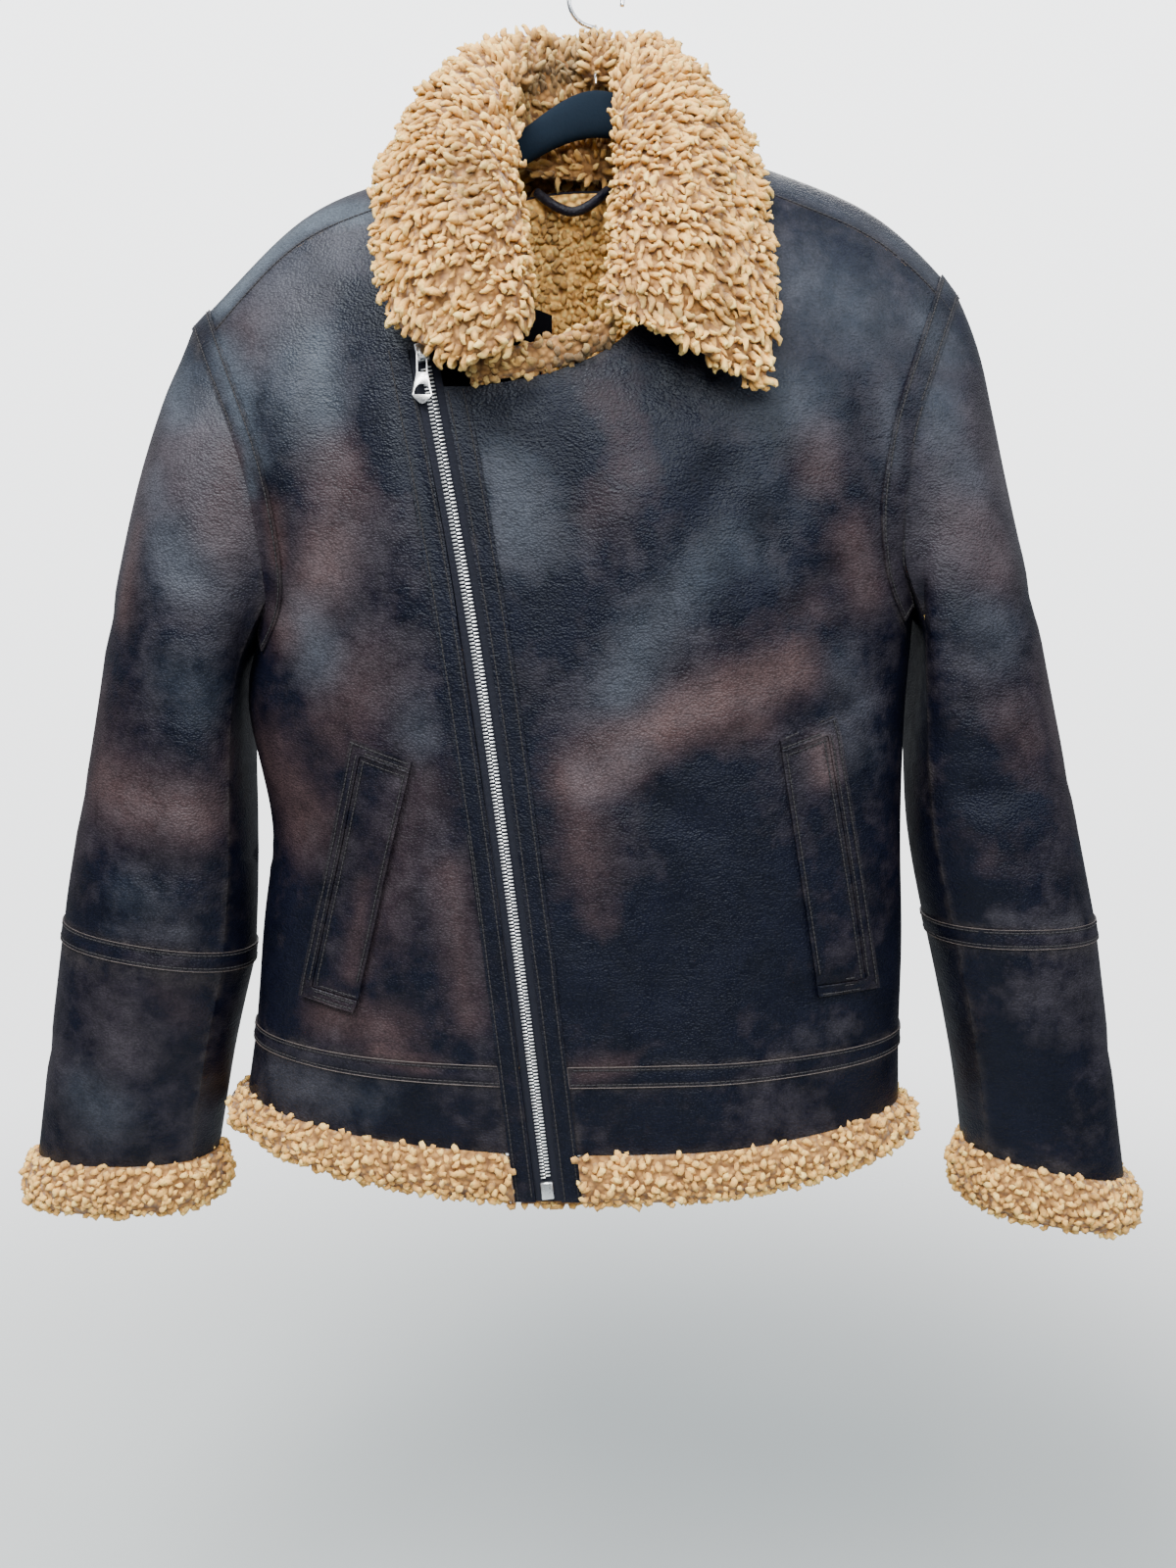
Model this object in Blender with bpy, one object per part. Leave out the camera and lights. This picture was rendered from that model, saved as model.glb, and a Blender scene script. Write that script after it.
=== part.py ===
"""A zipped faux shearling coat, with its sleeves hanging, on a contoured hanger with a wire hook.

Metres, +Z up. The front faces -Y and +X is the viewer's right, which is the wearer's left.
The origin is the top of the inside of the hook, where a rail carries it.
Leather and pile are one wall. Every panel of the body is read from one surface, body_point, by its
turn round the body (0 and 2 at the wearer's right side seam, 0.5 at the front, 1 at the left side
seam, 1.5 at the back) and its height. Sleeves, collar and hanger are lofts through tables of sections.
"""
import math
from collections import namedtuple

import bmesh
import bpy
import numpy as np
from mathutils import Matrix, Vector

# Cloth
WALL = 0.005  # leather and the pile behind it
SEAM_GAP = 0.0004  # between neighbouring pieces
LAID_GAP = 0.0005  # under a strip sewn on a panel
STRIP_THICK = 0.0013  # a sewn-on strip
RAISED = 0.0012  # how far the hem strip and the sleeve band stand proud
SHARP_ANGLE = math.radians(50)

# Body
SQUARENESS = 2.4  # power of the body's superellipse cross-section
WALK_STEPS = 8  # in which a distance round the body is walked
SHOULDER_ROLL = 0.22  # height in which the shoulders round out to the full depth
SHOULDER_SEAM_DROP = 0.031  # from the ridge down to the shoulder strip's seams
ARMHOLE_ROWS = 7
SIDE_ROWS = 12
NECK_ROWS = 4  # rows of the right front above the zip
SHOULDER_COLUMNS = 7
SHOULDER_ROWS = 5  # places over the ridge, from the strip's front seam to its back seam
TAPE_WIDTH = 0.018
SEAM_SHARE = 0.65  # the wall's thickness at the armhole seam, where the pile is flattened
SEAM_LEAN = 0.5  # how far that seam's wall leans to lie between sleeve and body
EVENING = 1  # passes that even out a panel's rows and columns
TOP_FADE = 3  # how fast the top edge's shape fades out of the rows below
ROW_DROP = 0.100  # how much lower a row is at the zip or the back's middle than at the armhole
SHOULDER_TAPE_STEP = 0.0135  # the tape's width along X where it crosses the shoulder
NECK_X = {"right": -0.088, "left": 0.075}
UNDERARM_Z = {"right": -0.455, "left": -0.434}
SIDE_TURN = {"right": 0.0, "left": 1.0}

Section = namedtuple("Section", "z left right front back")
BODY = [
    Section(-0.1000, -0.3160, 0.2900, 0.088, 0.066),
    Section(-0.2330, -0.3060, 0.2830, 0.096, 0.072),
    Section(-0.2900, -0.2960, 0.2720, 0.098, 0.074),
    Section(-0.3330, -0.2840, 0.2600, 0.099, 0.075),
    Section(-0.3950, -0.2620, 0.2410, 0.099, 0.076),
    Section(-0.4425, -0.2460, 0.2285, 0.097, 0.075),
    Section(-0.4851, -0.2480, 0.2248, 0.096, 0.074),
    Section(-0.5354, -0.2442, 0.2235, 0.095, 0.072),
    Section(-0.5939, -0.2400, 0.2239, 0.094, 0.071),
    Section(-0.6683, -0.2471, 0.2275, 0.092, 0.071),
    Section(-0.7442, -0.2550, 0.2275, 0.090, 0.072),
    Section(-0.7900, -0.2625, 0.2290, 0.088, 0.072),
    Section(-0.8600, -0.2680, 0.2310, 0.087, 0.072),
]

Ridge = namedtuple("Ridge", "x z")
RIDGE = [
    Ridge(-0.3200, -0.2850),
    Ridge(-0.2911, -0.2414),
    Ridge(-0.2597, -0.2115),
    Ridge(-0.2369, -0.1885),
    Ridge(-0.2003, -0.1558),
    Ridge(-0.1495, -0.1363),
    Ridge(-0.0900, -0.1200),
    Ridge(0.0000, -0.1130),
    Ridge(0.0750, -0.1145),
    Ridge(0.1388, -0.1337),
    Ridge(0.1890, -0.1538),
    Ridge(0.2204, -0.1767),
    Ridge(0.2589, -0.2181),
    Ridge(0.2900, -0.2600),
]

# Where the armhole seam crosses the shoulder strip, from its front seam to its back seam
SHOULDER_END = {
    "right": [-0.2720, -0.2795, -0.2840, -0.2805, -0.2740],
    "left": [0.2435, 0.2505, 0.2555, 0.2515, 0.2450],
}

# How far the armhole seam swings in from a straight line, at shares of its height
Scoop = namedtuple("Scoop", "share front back")
ARMHOLE = [
    Scoop(0.00, 0.000, 0.000),
    Scoop(0.17, 0.012, 0.007),
    Scoop(0.40, 0.026, 0.015),
    Scoop(0.66, 0.028, 0.018),
]
LOWER_ROWS = 3  # rows of the armhole on the quarter ellipse under its innermost point
STEEPEST = 0.8  # limits of how far the tape's inner edge moves down and across, in tape widths
LEAST_ACROSS = 0.6

# Large folds: troughs are negative. Face is -1 on the front, 1 on the back, 0 all round.
Fold = namedtuple("Fold", "face x z half_width half_length tilt depth")
FOLDS = [
    Fold(-1, -0.172, -0.285, 0.020, 0.085, -4, -0.0100),
    Fold(-1, -0.210, -0.330, 0.018, 0.070, 6, 0.0040),
    Fold(-1, -0.130, -0.330, 0.018, 0.080, -8, 0.0040),
    Fold(-1, 0.176, -0.275, 0.016, 0.075, 8, -0.0060),
    Fold(-1, 0.145, -0.300, 0.020, 0.080, 12, 0.0045),
    Fold(0, -0.245, -0.500, 0.040, 0.030, 0, 0.0050),
    Fold(0, -0.245, -0.590, 0.060, 0.030, 0, -0.0040),
    Fold(-1, -0.190, -0.500, 0.016, 0.075, -35, -0.0050),
    Fold(-1, 0.150, -0.420, 0.016, 0.090, 42, -0.0050),
    Fold(-1, 0.060, -0.400, 0.030, 0.110, 35, 0.0050),
    Fold(-1, 0.170, -0.600, 0.022, 0.110, 10, 0.0040),
    Fold(-1, 0.060, -0.640, 0.030, 0.120, -6, -0.0040),
    Fold(-1, -0.120, -0.640, 0.020, 0.090, 8, 0.0040),
    Fold(-1, -0.155, -0.745, 0.035, 0.060, 0, 0.0050),
    Fold(-1, 0.090, -0.790, 0.040, 0.060, 0, 0.0040),
    Fold(1, -0.215, -0.240, 0.055, 0.060, 0, 0.0035),
    Fold(1, -0.198, -0.650, 0.038, 0.100, 0, 0.0032),
    Fold(1, -0.060, -0.420, 0.035, 0.140, 14, -0.0050),
    Fold(1, 0.070, -0.520, 0.030, 0.150, -10, -0.0060),
    Fold(1, -0.110, -0.620, 0.028, 0.120, 8, 0.0050),
    Fold(1, 0.010, -0.700, 0.030, 0.100, 0, 0.0050),
    Fold(1, 0.140, -0.680, 0.026, 0.100, -8, -0.0050),
]

# Zip: its line down the front, and the pieces beside it
Line = namedtuple("Line", "z x")
ZIP_LINE = [
    Line(-0.2300, -0.1190),
    Line(-0.2957, -0.1052),
    Line(-0.4501, -0.0796),
    Line(-0.6376, -0.0557),
    Line(-0.8500, -0.0318),
]
TAPE_HALF = 0.009  # from the zip's line to the panel's edge
TAPE_ROOM = 0.0002  # between the tape and that edge
ZIP_ROWS = 22
PLACKET_WIDTH = 0.015
ZIP_TOP = {"right": -0.262, "left": -0.287}
PLACKET_FOOT = -0.841
PLACKET_STEP = (0.0015, 0.0045)  # under the panels' foot, where the placket thickens to the whole wall
TAPE_SINK = 0.0010  # the tape lies this far under the panels' face
TAPE_THICK = 0.0012
CHAIN_HALF = 0.00325
CHAIN_TOP = -0.2735
CHAIN_FOOT = -0.8245
CHAIN_PROUD = 0.0019

# Neckline: the wearer's right front's inner edge above the zip, and the left front's top edge
NECKLINE_RIGHT = [
    Line(-0.1450, -0.0880),
    Line(-0.1750, -0.0930),
    Line(-0.2200, -0.1070),
    Line(-0.2620, -0.1210),
]
Edge = namedtuple("Edge", "x z")
NECKLINE_LEFT = [
    Edge(-0.0620, -0.2845),
    Edge(-0.0360, -0.2805),
    Edge(-0.0100, -0.2720),
    Edge(0.0120, -0.2615),
    Edge(0.0380, -0.2360),
    Edge(0.0600, -0.1950),
]
NECK_EDGE_COLUMNS = 5  # the pile edge runs along this many of the left front's columns
NECK_EDGE_HEIGHT = 0.024
NECK_EDGE_OUTER = 0.55  # its thickness beside the hem's roll, outside and inside
NECK_EDGE_INNER = 0.8
BACK_NECK = [Edge(0.0400, -0.1350), Edge(0.0000, -0.1330), Edge(-0.0450, -0.1350)]

# Hem: the heights of its rows at the front middle, and how much they rise at the sides
PANEL_FOOT = -0.742
STRIP_FOOT = -0.757
LEATHER_FOOT = -0.807
FUR_FOOT = -0.847
HEM_HALF = 0.24
PANEL_RISE = 0.008  # how much higher the panels' foot is at the sides
SIDE_RISE = 0.019  # the same for the leather's foot
# The pile behind the zip's foot, by its places beside the zip and its depth in the body
BACKING_XS = (-0.0232, -0.0090, 0.0090, 0.0232)
BACKING_ZS = (-0.8000, -0.8250, -0.8500)
BACKING_FRONT = 0.0065
BACKING_REAR = 0.0150
Roll = namedtuple("Roll", "share outer inner")
FUR_ROLL = [
    Roll(0.00, 0.0030, -0.0050),
    Roll(0.16, 0.0095, -0.0090),
    Roll(0.45, 0.0135, -0.0110),
    Roll(0.76, 0.0115, -0.0090),
    Roll(1.00, 0.0040, -0.0030),
]

# Sleeves, from just under the shoulder to the wrist. The outer and inner points are on the
# sleeve's two folds, front and back are half depths, and inset draws the ring towards the body.
Ring = namedtuple("Ring", "outer_x outer_z inner_x inner_z front back inset")
UPPER_SLEEVE = {
    "right": [
        Ring(-0.3037, -0.2769, -0.2555, -0.4800, 0.066, 0.058, 0.030),
        Ring(-0.3200, -0.3220, -0.2560, -0.5020, 0.068, 0.060, 0.025),
        Ring(-0.3320, -0.3656, -0.2555, -0.5260, 0.068, 0.060, 0.019),
        Ring(-0.3445, -0.4180, -0.2540, -0.5550, 0.066, 0.058, 0.013),
        Ring(-0.3552, -0.4708, -0.2520, -0.5850, 0.064, 0.056, 0.009),
        Ring(-0.3724, -0.5572, -0.2515, -0.6250, 0.061, 0.053, 0.005),
        Ring(-0.3880, -0.6250, -0.2525, -0.6560, 0.058, 0.050, 0.002),
        Ring(-0.3925, -0.6530, -0.2535, -0.6770, 0.057, 0.049, 0.000),
    ],
    "left": [
        Ring(0.2690, -0.2440, 0.2360, -0.4540, 0.066, 0.058, 0.026),
        Ring(0.2830, -0.3026, 0.2355, -0.4810, 0.068, 0.060, 0.024),
        Ring(0.2988, -0.3670, 0.2330, -0.5120, 0.068, 0.060, 0.020),
        Ring(0.3178, -0.4361, 0.2315, -0.5500, 0.066, 0.058, 0.014),
        Ring(0.3374, -0.5188, 0.2320, -0.5900, 0.063, 0.055, 0.008),
        Ring(0.3580, -0.6064, 0.2385, -0.6280, 0.060, 0.052, 0.003),
        Ring(0.3690, -0.6530, 0.2440, -0.6540, 0.057, 0.049, 0.000),
    ],
}
FOREARM = {
    "right": [
        Ring(-0.3950, -0.6670, -0.2550, -0.6910, 0.057, 0.049, 0.0),
        Ring(-0.4081, -0.7442, -0.2712, -0.7520, 0.051, 0.045, 0.0),
        Ring(-0.4160, -0.7900, -0.2790, -0.7950, 0.047, 0.042, 0.0),
        Ring(-0.4235, -0.8350, -0.2863, -0.8360, 0.042, 0.038, 0.0),
    ],
    "left": [
        Ring(0.3715, -0.6670, 0.2475, -0.6680, 0.057, 0.049, 0.0),
        Ring(0.3798, -0.7167, 0.2586, -0.7130, 0.054, 0.046, 0.0),
        Ring(0.3922, -0.7900, 0.2720, -0.7750, 0.047, 0.042, 0.0),
        Ring(0.4034, -0.8539, 0.2792, -0.8287, 0.042, 0.038, 0.0),
    ],
}
CUFF_FOOT = {
    "right": Ring(-0.4290, -0.8767, -0.2900, -0.8767, 0.042, 0.038, 0.0),
    "left": Ring(0.4090, -0.8985, 0.2820, -0.8765, 0.042, 0.038, 0.0),
}
SLEEVE_SQUARENESS = 2.3
UPPER_RINGS = 10
FOREARM_RINGS = 4
RING_POINTS = 2 * ARMHOLE_ROWS + 4
UNDER_COLUMNS = 2  # the under panel reaches this far up each side of the inner fold

# Sleeve folds: angle is 0 at the outer fold and 90 at the front
SleeveFold = namedtuple("SleeveFold", "angle z half_angle half_length depth")
SLEEVE_FOLDS = [
    SleeveFold(95, -0.330, 22, 0.070, -0.0050),
    SleeveFold(60, -0.400, 26, 0.080, 0.0040),
    SleeveFold(110, -0.500, 30, 0.020, -0.0045),
    SleeveFold(95, -0.560, 40, 0.018, -0.0040),
    SleeveFold(70, -0.600, 40, 0.022, 0.0030),
    SleeveFold(-95, -0.360, 24, 0.080, -0.0055),
    SleeveFold(-110, -0.520, 34, 0.020, -0.0050),
    SleeveFold(-80, -0.590, 36, 0.022, -0.0040),
    SleeveFold(100, -0.760, 34, 0.025, -0.0025),
    SleeveFold(-90, -0.740, 34, 0.025, -0.0030),
]

# Collar, from its right front end round the back to its left front end. Each section runs from
# the neck seam up the stand to the crest, then over the leaf to its edge.
Station = namedtuple("Station", "neck crest leaf edge")
COLLAR = [
    Station(
        (-0.107, -0.0955, -0.253), (-0.0406, -0.1040, -0.2462),
        (-0.078, -0.1260, -0.2780), (-0.122, -0.1110, -0.2600),
    ),
    Station(
        (-0.101, -0.0890, -0.215), (-0.0476, -0.0850, -0.1880),
        (-0.092, -0.1200, -0.2080), (-0.138, -0.0950, -0.2220),
    ),
    Station(
        (-0.092, -0.0660, -0.163), (-0.0526, -0.0520, -0.1360),
        (-0.095, -0.0880, -0.1380), (-0.142, -0.0700, -0.1750),
    ),
    Station(
        (-0.086, -0.0250, -0.114), (-0.0560, -0.0160, -0.0767),
        (-0.100, -0.0400, -0.0830), (-0.141, -0.0340, -0.1370),
    ),
    Station(
        (-0.079, 0.0060, -0.110), (-0.0490, 0.0080, -0.0410),
        (-0.093, 0.0140, -0.0650), (-0.134, 0.0240, -0.1220),
    ),
    Station(
        (-0.046, 0.0270, -0.124), (-0.0330, 0.0200, -0.0350),
        (-0.062, 0.0500, -0.0580), (-0.090, 0.0700, -0.1280),
    ),
    Station(
        (-0.004, 0.0290, -0.129), (0.0000, 0.0240, -0.0380),
        (0.000, 0.0580, -0.0640), (-0.004, 0.0780, -0.1480),
    ),
    Station(
        (0.036, 0.0270, -0.123), (0.0300, 0.0220, -0.0340),
        (0.047, 0.0500, -0.0570), (0.071, 0.0700, -0.1280),
    ),
    Station(
        (0.067, 0.0060, -0.106), (0.0240, 0.0000, -0.0460),
        (0.062, 0.0140, -0.0620), (0.099, 0.0240, -0.1120),
    ),
    Station(
        (0.073, -0.0250, -0.110), (0.0134, -0.0260, -0.0830),
        (0.061, -0.0380, -0.0820), (0.104, -0.0320, -0.1250),
    ),
    Station(
        (0.065, -0.0660, -0.158), (0.0145, -0.0640, -0.1586),
        (0.061, -0.0880, -0.1500), (0.111, -0.0680, -0.1880),
    ),
    Station(
        (0.050, -0.0890, -0.205), (0.0104, -0.0890, -0.2079),
        (0.060, -0.1140, -0.2050), (0.116, -0.0930, -0.2390),
    ),
    Station(
        (0.026, -0.0960, -0.240), (0.0052, -0.1040, -0.2347),
        (0.047, -0.1240, -0.2620), (0.106, -0.1130, -0.2920),
    ),
]
COLLAR_STEPS = 2  # rows of the mesh for each station
COLLAR_COLUMNS = 13
CREST_ROLL = 0.0105  # half the distance between stand and leaf at the crest
CREST_DROP = 0.75  # how far under the crest they are, in parts of the same
SECTION_SHARES = (0, 0.32, 0.42, 0.52, 0.76, 1)  # neck, stand's top, crest, leaf's top, leaf and edge
HALF_SHARES = (0, 0.4, 0.7, 0.9, 1)  # where half the collar's thickness is stated
STAND_HALF = 0.0040
LEAF_HALF = 0.0065
COLLAR_EDGE_HALF = 0.0035

# Pockets: the welt's corners on the front, as x and z
Welt = namedtuple("Welt", "top_outer top_inner foot_inner foot_outer")
WELTS = {
    "right": Welt((-0.1641, -0.5145), (-0.1222, -0.5290), (-0.1659, -0.7062), (-0.2078, -0.6987)),
    "left": Welt((0.1609, -0.5007), (0.1223, -0.5153), (0.1546, -0.6964), (0.1991, -0.6951)),
}
WELT_ROWS = 8
WELT_COLUMNS = 3
FRAME_WIDTH = 0.009
WELT_GAP = 0.0012  # under the welt, over the panel's facets
WELT_THICK = 0.0022
FRAME_THICK = 0.0032

# Hanger
Arm = namedtuple("Arm", "x middle_z half_height half_depth")
HANGER = [
    Arm(-0.2220, -0.2040, 0.0085, 0.0090),
    Arm(-0.2080, -0.1900, 0.0115, 0.0110),
    Arm(-0.1800, -0.1720, 0.0125, 0.0120),
    Arm(-0.1400, -0.1560, 0.0125, 0.0120),
    Arm(-0.0900, -0.1395, 0.0115, 0.0090),
    Arm(-0.0550, -0.1165, 0.0115, 0.0075),
    Arm(-0.0250, -0.0965, 0.0150, 0.0070),
    Arm(0.0000, -0.0888, 0.0165, 0.0070),
    Arm(0.0250, -0.0950, 0.0150, 0.0070),
    Arm(0.0480, -0.1120, 0.0115, 0.0075),
    Arm(0.0700, -0.1340, 0.0115, 0.0085),
    Arm(0.0900, -0.1400, 0.0115, 0.0095),
    Arm(0.1200, -0.1510, 0.0125, 0.0120),
    Arm(0.1600, -0.1640, 0.0130, 0.0130),
    Arm(0.1900, -0.1790, 0.0120, 0.0130),
    Arm(0.2060, -0.1930, 0.0085, 0.0100),
]
HANGER_SIDES = 12
HANGER_SQUARENESS = 2.4
HOOK_WIRE = 0.0017
HOOK_INNER = 0.0168
HOOK_FOOT = -0.0719
HOOK_START = -90  # degrees round the hook, from its foot
HOOK_END = -375
HOOK_STEPS = 20

# Slider, pull and box
PULL_DROP = -0.0020  # the pull's bar under the slider's middle
PULL_LENGTH = 0.0325
PULL_THICK = 0.0012
# Right halves of the pull's outline, its slot and its hole, as x and z from its bar's middle
PULL_HALF = [
    (0.0036, 0.0006),
    (0.0037, -0.0122),
    (0.0065, -0.0262),
    (0.0056, -0.0276),
    (0.0016, -0.0312),
    (0.0000, -0.0316),
]
SLOT_HALF = [(0.0026, -0.0006), (0.0026, -0.0118)]
HOLE_HALF = [(0.0000, -0.0192), (0.0022, -0.0197), (0.0040, -0.0214), (0.0049, -0.0238), (0.0051, -0.0259)]
BRIDGE_ROOM = 0.0012  # from the pull's axis to the slider's face, and to the bridge's roof
BRIDGE_THICK = 0.0015
BRIDGE_HALF = 0.0018
BRIDGE_ROOT = 0.0010  # how far its feet reach into the slider
BRIDGE_LONG = 0.0036  # half lengths: outside, over its top, and of the room for the pull's bar
BRIDGE_TOP_LONG = 0.0026
BRIDGE_CLEAR = 0.0019
SLIDER_Z = -0.2655
SLIDER_WIDTH = 0.0085
SLIDER_LENGTH = 0.0120
SLIDER_PROUD = 0.0045
BOX_Z = -0.8322
BOX_WIDTH = 0.0090
BOX_LENGTH = 0.0130
BOX_PROUD = 0.0032
BLOCK_SINK = 0.0004
BLOCK_BEVEL = 0.0008

# Hanging loop at the back of the neck
LOOP_LINE = [
    (-0.0414, 0.0225, -0.1365),
    (-0.0300, 0.0175, -0.1460),
    (-0.0157, 0.0160, -0.1515),
    (-0.0020, 0.0175, -0.1450),
    (0.0086, 0.0225, -0.1350),
]
LOOP_STEPS = 11
LOOP_RADIUS = 0.0022

FINISHES = {
    "leather": ((0.045, 0.032, 0.034, 1), 0.45, 0.0),
    "fur": ((0.62, 0.43, 0.25, 1), 0.95, 0.0),
    "zip_cloth": ((0.02, 0.022, 0.035, 1), 0.9, 0.0),
    "metal": ((0.75, 0.75, 0.76, 1), 0.25, 1.0),
    "hanger_plastic": ((0.012, 0.012, 0.013, 1), 0.55, 0.0),
}


# ---- reading the tables ----


def spline(places, values, at):
    """A cubic through unevenly spaced values, level with the chords at each place."""
    places, values = np.asarray(places, float), np.asarray(values, float)
    if places[0] > places[-1]:
        places, values = places[::-1], values[::-1]
    at = min(max(at, places[0]), places[-1])
    slopes = np.gradient(values, places, axis=0)
    i = min(int(np.searchsorted(places, at, side="right")) - 1, len(places) - 2)
    width = places[i + 1] - places[i]
    t = (at - places[i]) / width
    return (
        (1 + 2 * t) * (1 - t) ** 2 * values[i]
        + t * (1 - t) ** 2 * width * slopes[i]
        + t * t * (3 - 2 * t) * values[i + 1]
        + t * t * (t - 1) * width * slopes[i + 1]
    )


def ridge_height(x):
    return float(spline([row.x for row in RIDGE], [row.z for row in RIDGE], x))


def zip_x(z):
    return float(spline([row.z for row in ZIP_LINE], [row.x for row in ZIP_LINE], z))


def unit(vector):
    return vector / np.linalg.norm(vector)


def powered(value, squareness):
    return math.copysign(abs(value) ** (2 / squareness), value)


# ---- the body's surface ----


def body_section(z):
    return spline([row.z for row in BODY], [row[1:] for row in BODY], z)


def fold_height(x, z, out):
    total = 0.0
    for fold in FOLDS:
        share = abs(out) if fold.face else 1.0
        if fold.face and (out > 0) != (fold.face < 0):
            continue
        tilt = math.radians(fold.tilt)
        across = (x - fold.x) * math.cos(tilt) + (z - fold.z) * math.sin(tilt)
        along = (z - fold.z) * math.cos(tilt) - (x - fold.x) * math.sin(tilt)
        q = (across / fold.half_width) ** 2 + (along / fold.half_length) ** 2
        total += share * fold.depth * math.exp(-q)
    return total


def body_point(turn, z):
    left, right, front, back = body_section(z)
    half = (right - left) / 2
    across = powered(math.cos(math.pi * turn), SQUARENESS)
    out = powered(math.sin(math.pi * turn), SQUARENESS)
    x = (left + right) / 2 - half * across
    depth = front if out > 0 else back
    drop = min(max((ridge_height(x) - z) / SHOULDER_ROLL, 0), 1)
    y = -depth * out * math.sqrt(drop * (2 - drop))
    facing = unit(np.array([-across * depth, -out * half, 0.0]))
    return np.array([x, y, z]) + fold_height(x, z, out) * facing


def hem_height(x, foot):
    """The height of a hem row at this x, from its height at the front middle."""
    down = (foot - PANEL_FOOT) / (LEATHER_FOOT - PANEL_FOOT)
    return foot + (PANEL_RISE + (SIDE_RISE - PANEL_RISE) * down) * (x / HEM_HALF) ** 2


def body_slopes(turn, z):
    d_turn, d_z = 0.002, 0.001
    across = (body_point(turn + d_turn, z) - body_point(turn - d_turn, z)) / (2 * d_turn)
    along = (body_point(turn, z + d_z) - body_point(turn, z - d_z)) / (2 * d_z)
    return across, along


def body_normal(turn, z):
    return unit(np.cross(*body_slopes(turn, z)))


def turn_at(x, z, back=False):
    left, right = body_section(z)[:2]
    across = ((left + right) / 2 - x) / ((right - left) / 2)
    across = min(max(across, -1), 1)
    turn = math.acos(math.copysign(abs(across) ** (SQUARENESS / 2), across)) / math.pi
    return 2 - turn if back else turn


def beside(turn, z, distance):
    """The place at the same height, this far round the body."""
    for _ in range(WALK_STEPS):
        turn += distance / WALK_STEPS / np.linalg.norm(body_slopes(turn, z)[0])
    return turn, z


# ---- shoulders and armholes ----

SEAM_ANGLE = math.acos(1 - SHOULDER_SEAM_DROP / SHOULDER_ROLL)


def shoulder_height(x, angle):
    return ridge_height(x) - SHOULDER_ROLL * (1 - math.cos(angle))


def shoulder_point(x, angle):
    """A point on the arch over the ridge. The angle is negative towards the front."""
    z = shoulder_height(x, angle)
    return body_point(turn_at(x, z, back=angle > 0), z)


def shoulder_normal(x, angle):
    d_angle, d_x = 0.02, 0.001
    over = shoulder_point(x, angle + d_angle) - shoulder_point(x, angle - d_angle)
    along = shoulder_point(x + d_x, angle) - shoulder_point(x - d_x, angle)
    return unit(np.cross(along, over))


def shoulder_xs(side, share):
    """The strip's columns from the armhole to the neck, at a share of the way over the ridge."""
    end = float(spline(np.linspace(0, 1, SHOULDER_ROWS), SHOULDER_END[side], share))
    inwards = 1 if side == "right" else -1
    first = end + inwards * SHOULDER_TAPE_STEP
    return [end] + list(np.linspace(first, NECK_X[side], SHOULDER_COLUMNS))


def shoulder_seam(side, back):
    """The shoulder seam's places on the body, from the armhole to the neck."""
    angle = SEAM_ANGLE if back else -SEAM_ANGLE
    places = [(x, shoulder_height(x, angle)) for x in shoulder_xs(side, float(back))]
    return [(turn_at(x, z, back), z) for x, z in places]


def side_turn(side, back):
    return 2.0 if back and side == "right" else SIDE_TURN[side]


def armhole_pair(side, back):
    """The armhole and side seam's places, and the places a tape's width inside them."""
    top_turn, top_z = shoulder_seam(side, back)[0]
    top_x = body_point(top_turn, top_z)[0]
    foot_z = UNDERARM_Z[side]
    foot_turn = side_turn(side, back)
    foot_x = body_point(foot_turn, foot_z)[0]
    inwards = 1 if side == "right" else -1
    towards_middle = 1 if foot_turn < (1.5 if back else 0.5) else -1
    upper_rows = ARMHOLE_ROWS - LOWER_ROWS
    edge = []
    for share in np.linspace(0, ARMHOLE[-1].share, upper_rows + 1):
        scoop = spline([s.share for s in ARMHOLE], [(s.front, s.back) for s in ARMHOLE], share)[int(back)]
        x = top_x + share * (foot_x - top_x) + inwards * scoop
        z = top_z + share * (foot_z - top_z)
        edge.append((turn_at(x, z, back), z))
    reach_turn, reach_z = edge[-1]
    angles = [math.pi / 2 * (1 - row / LOWER_ROWS) for row in range(1, LOWER_ROWS + 1)]
    for angle in angles:
        turn = foot_turn + (reach_turn - foot_turn) * math.sin(angle)
        edge.append((turn, foot_z + (reach_z - foot_z) * (1 - math.cos(angle))))
    points = [body_point(*place) for place in edge]
    inset = [shoulder_seam(side, back)[1]]
    for row in range(1, upper_rows + 1):
        before, after = points[row - 1], points[row + 1]
        steepness = max(abs(unit(after - before)[2]), STEEPEST)
        inset.append(beside(*edge[row], towards_middle * TAPE_WIDTH / steepness))
    for angle, (turn, z) in zip(angles, edge[upper_rows + 1 :]):
        across, down = max(math.sin(angle), LEAST_ACROSS), STEEPEST * math.cos(angle)
        inset.append(beside(turn, z - down * TAPE_WIDTH, towards_middle * across * TAPE_WIDTH))
    for z in np.linspace(foot_z, hem_height(foot_x, PANEL_FOOT), SIDE_ROWS + 1)[1:]:
        edge.append((foot_turn, z))
        inset.append(beside(foot_turn, z, towards_middle * TAPE_WIDTH))
    return edge, inset


# ---- panels ----


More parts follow.
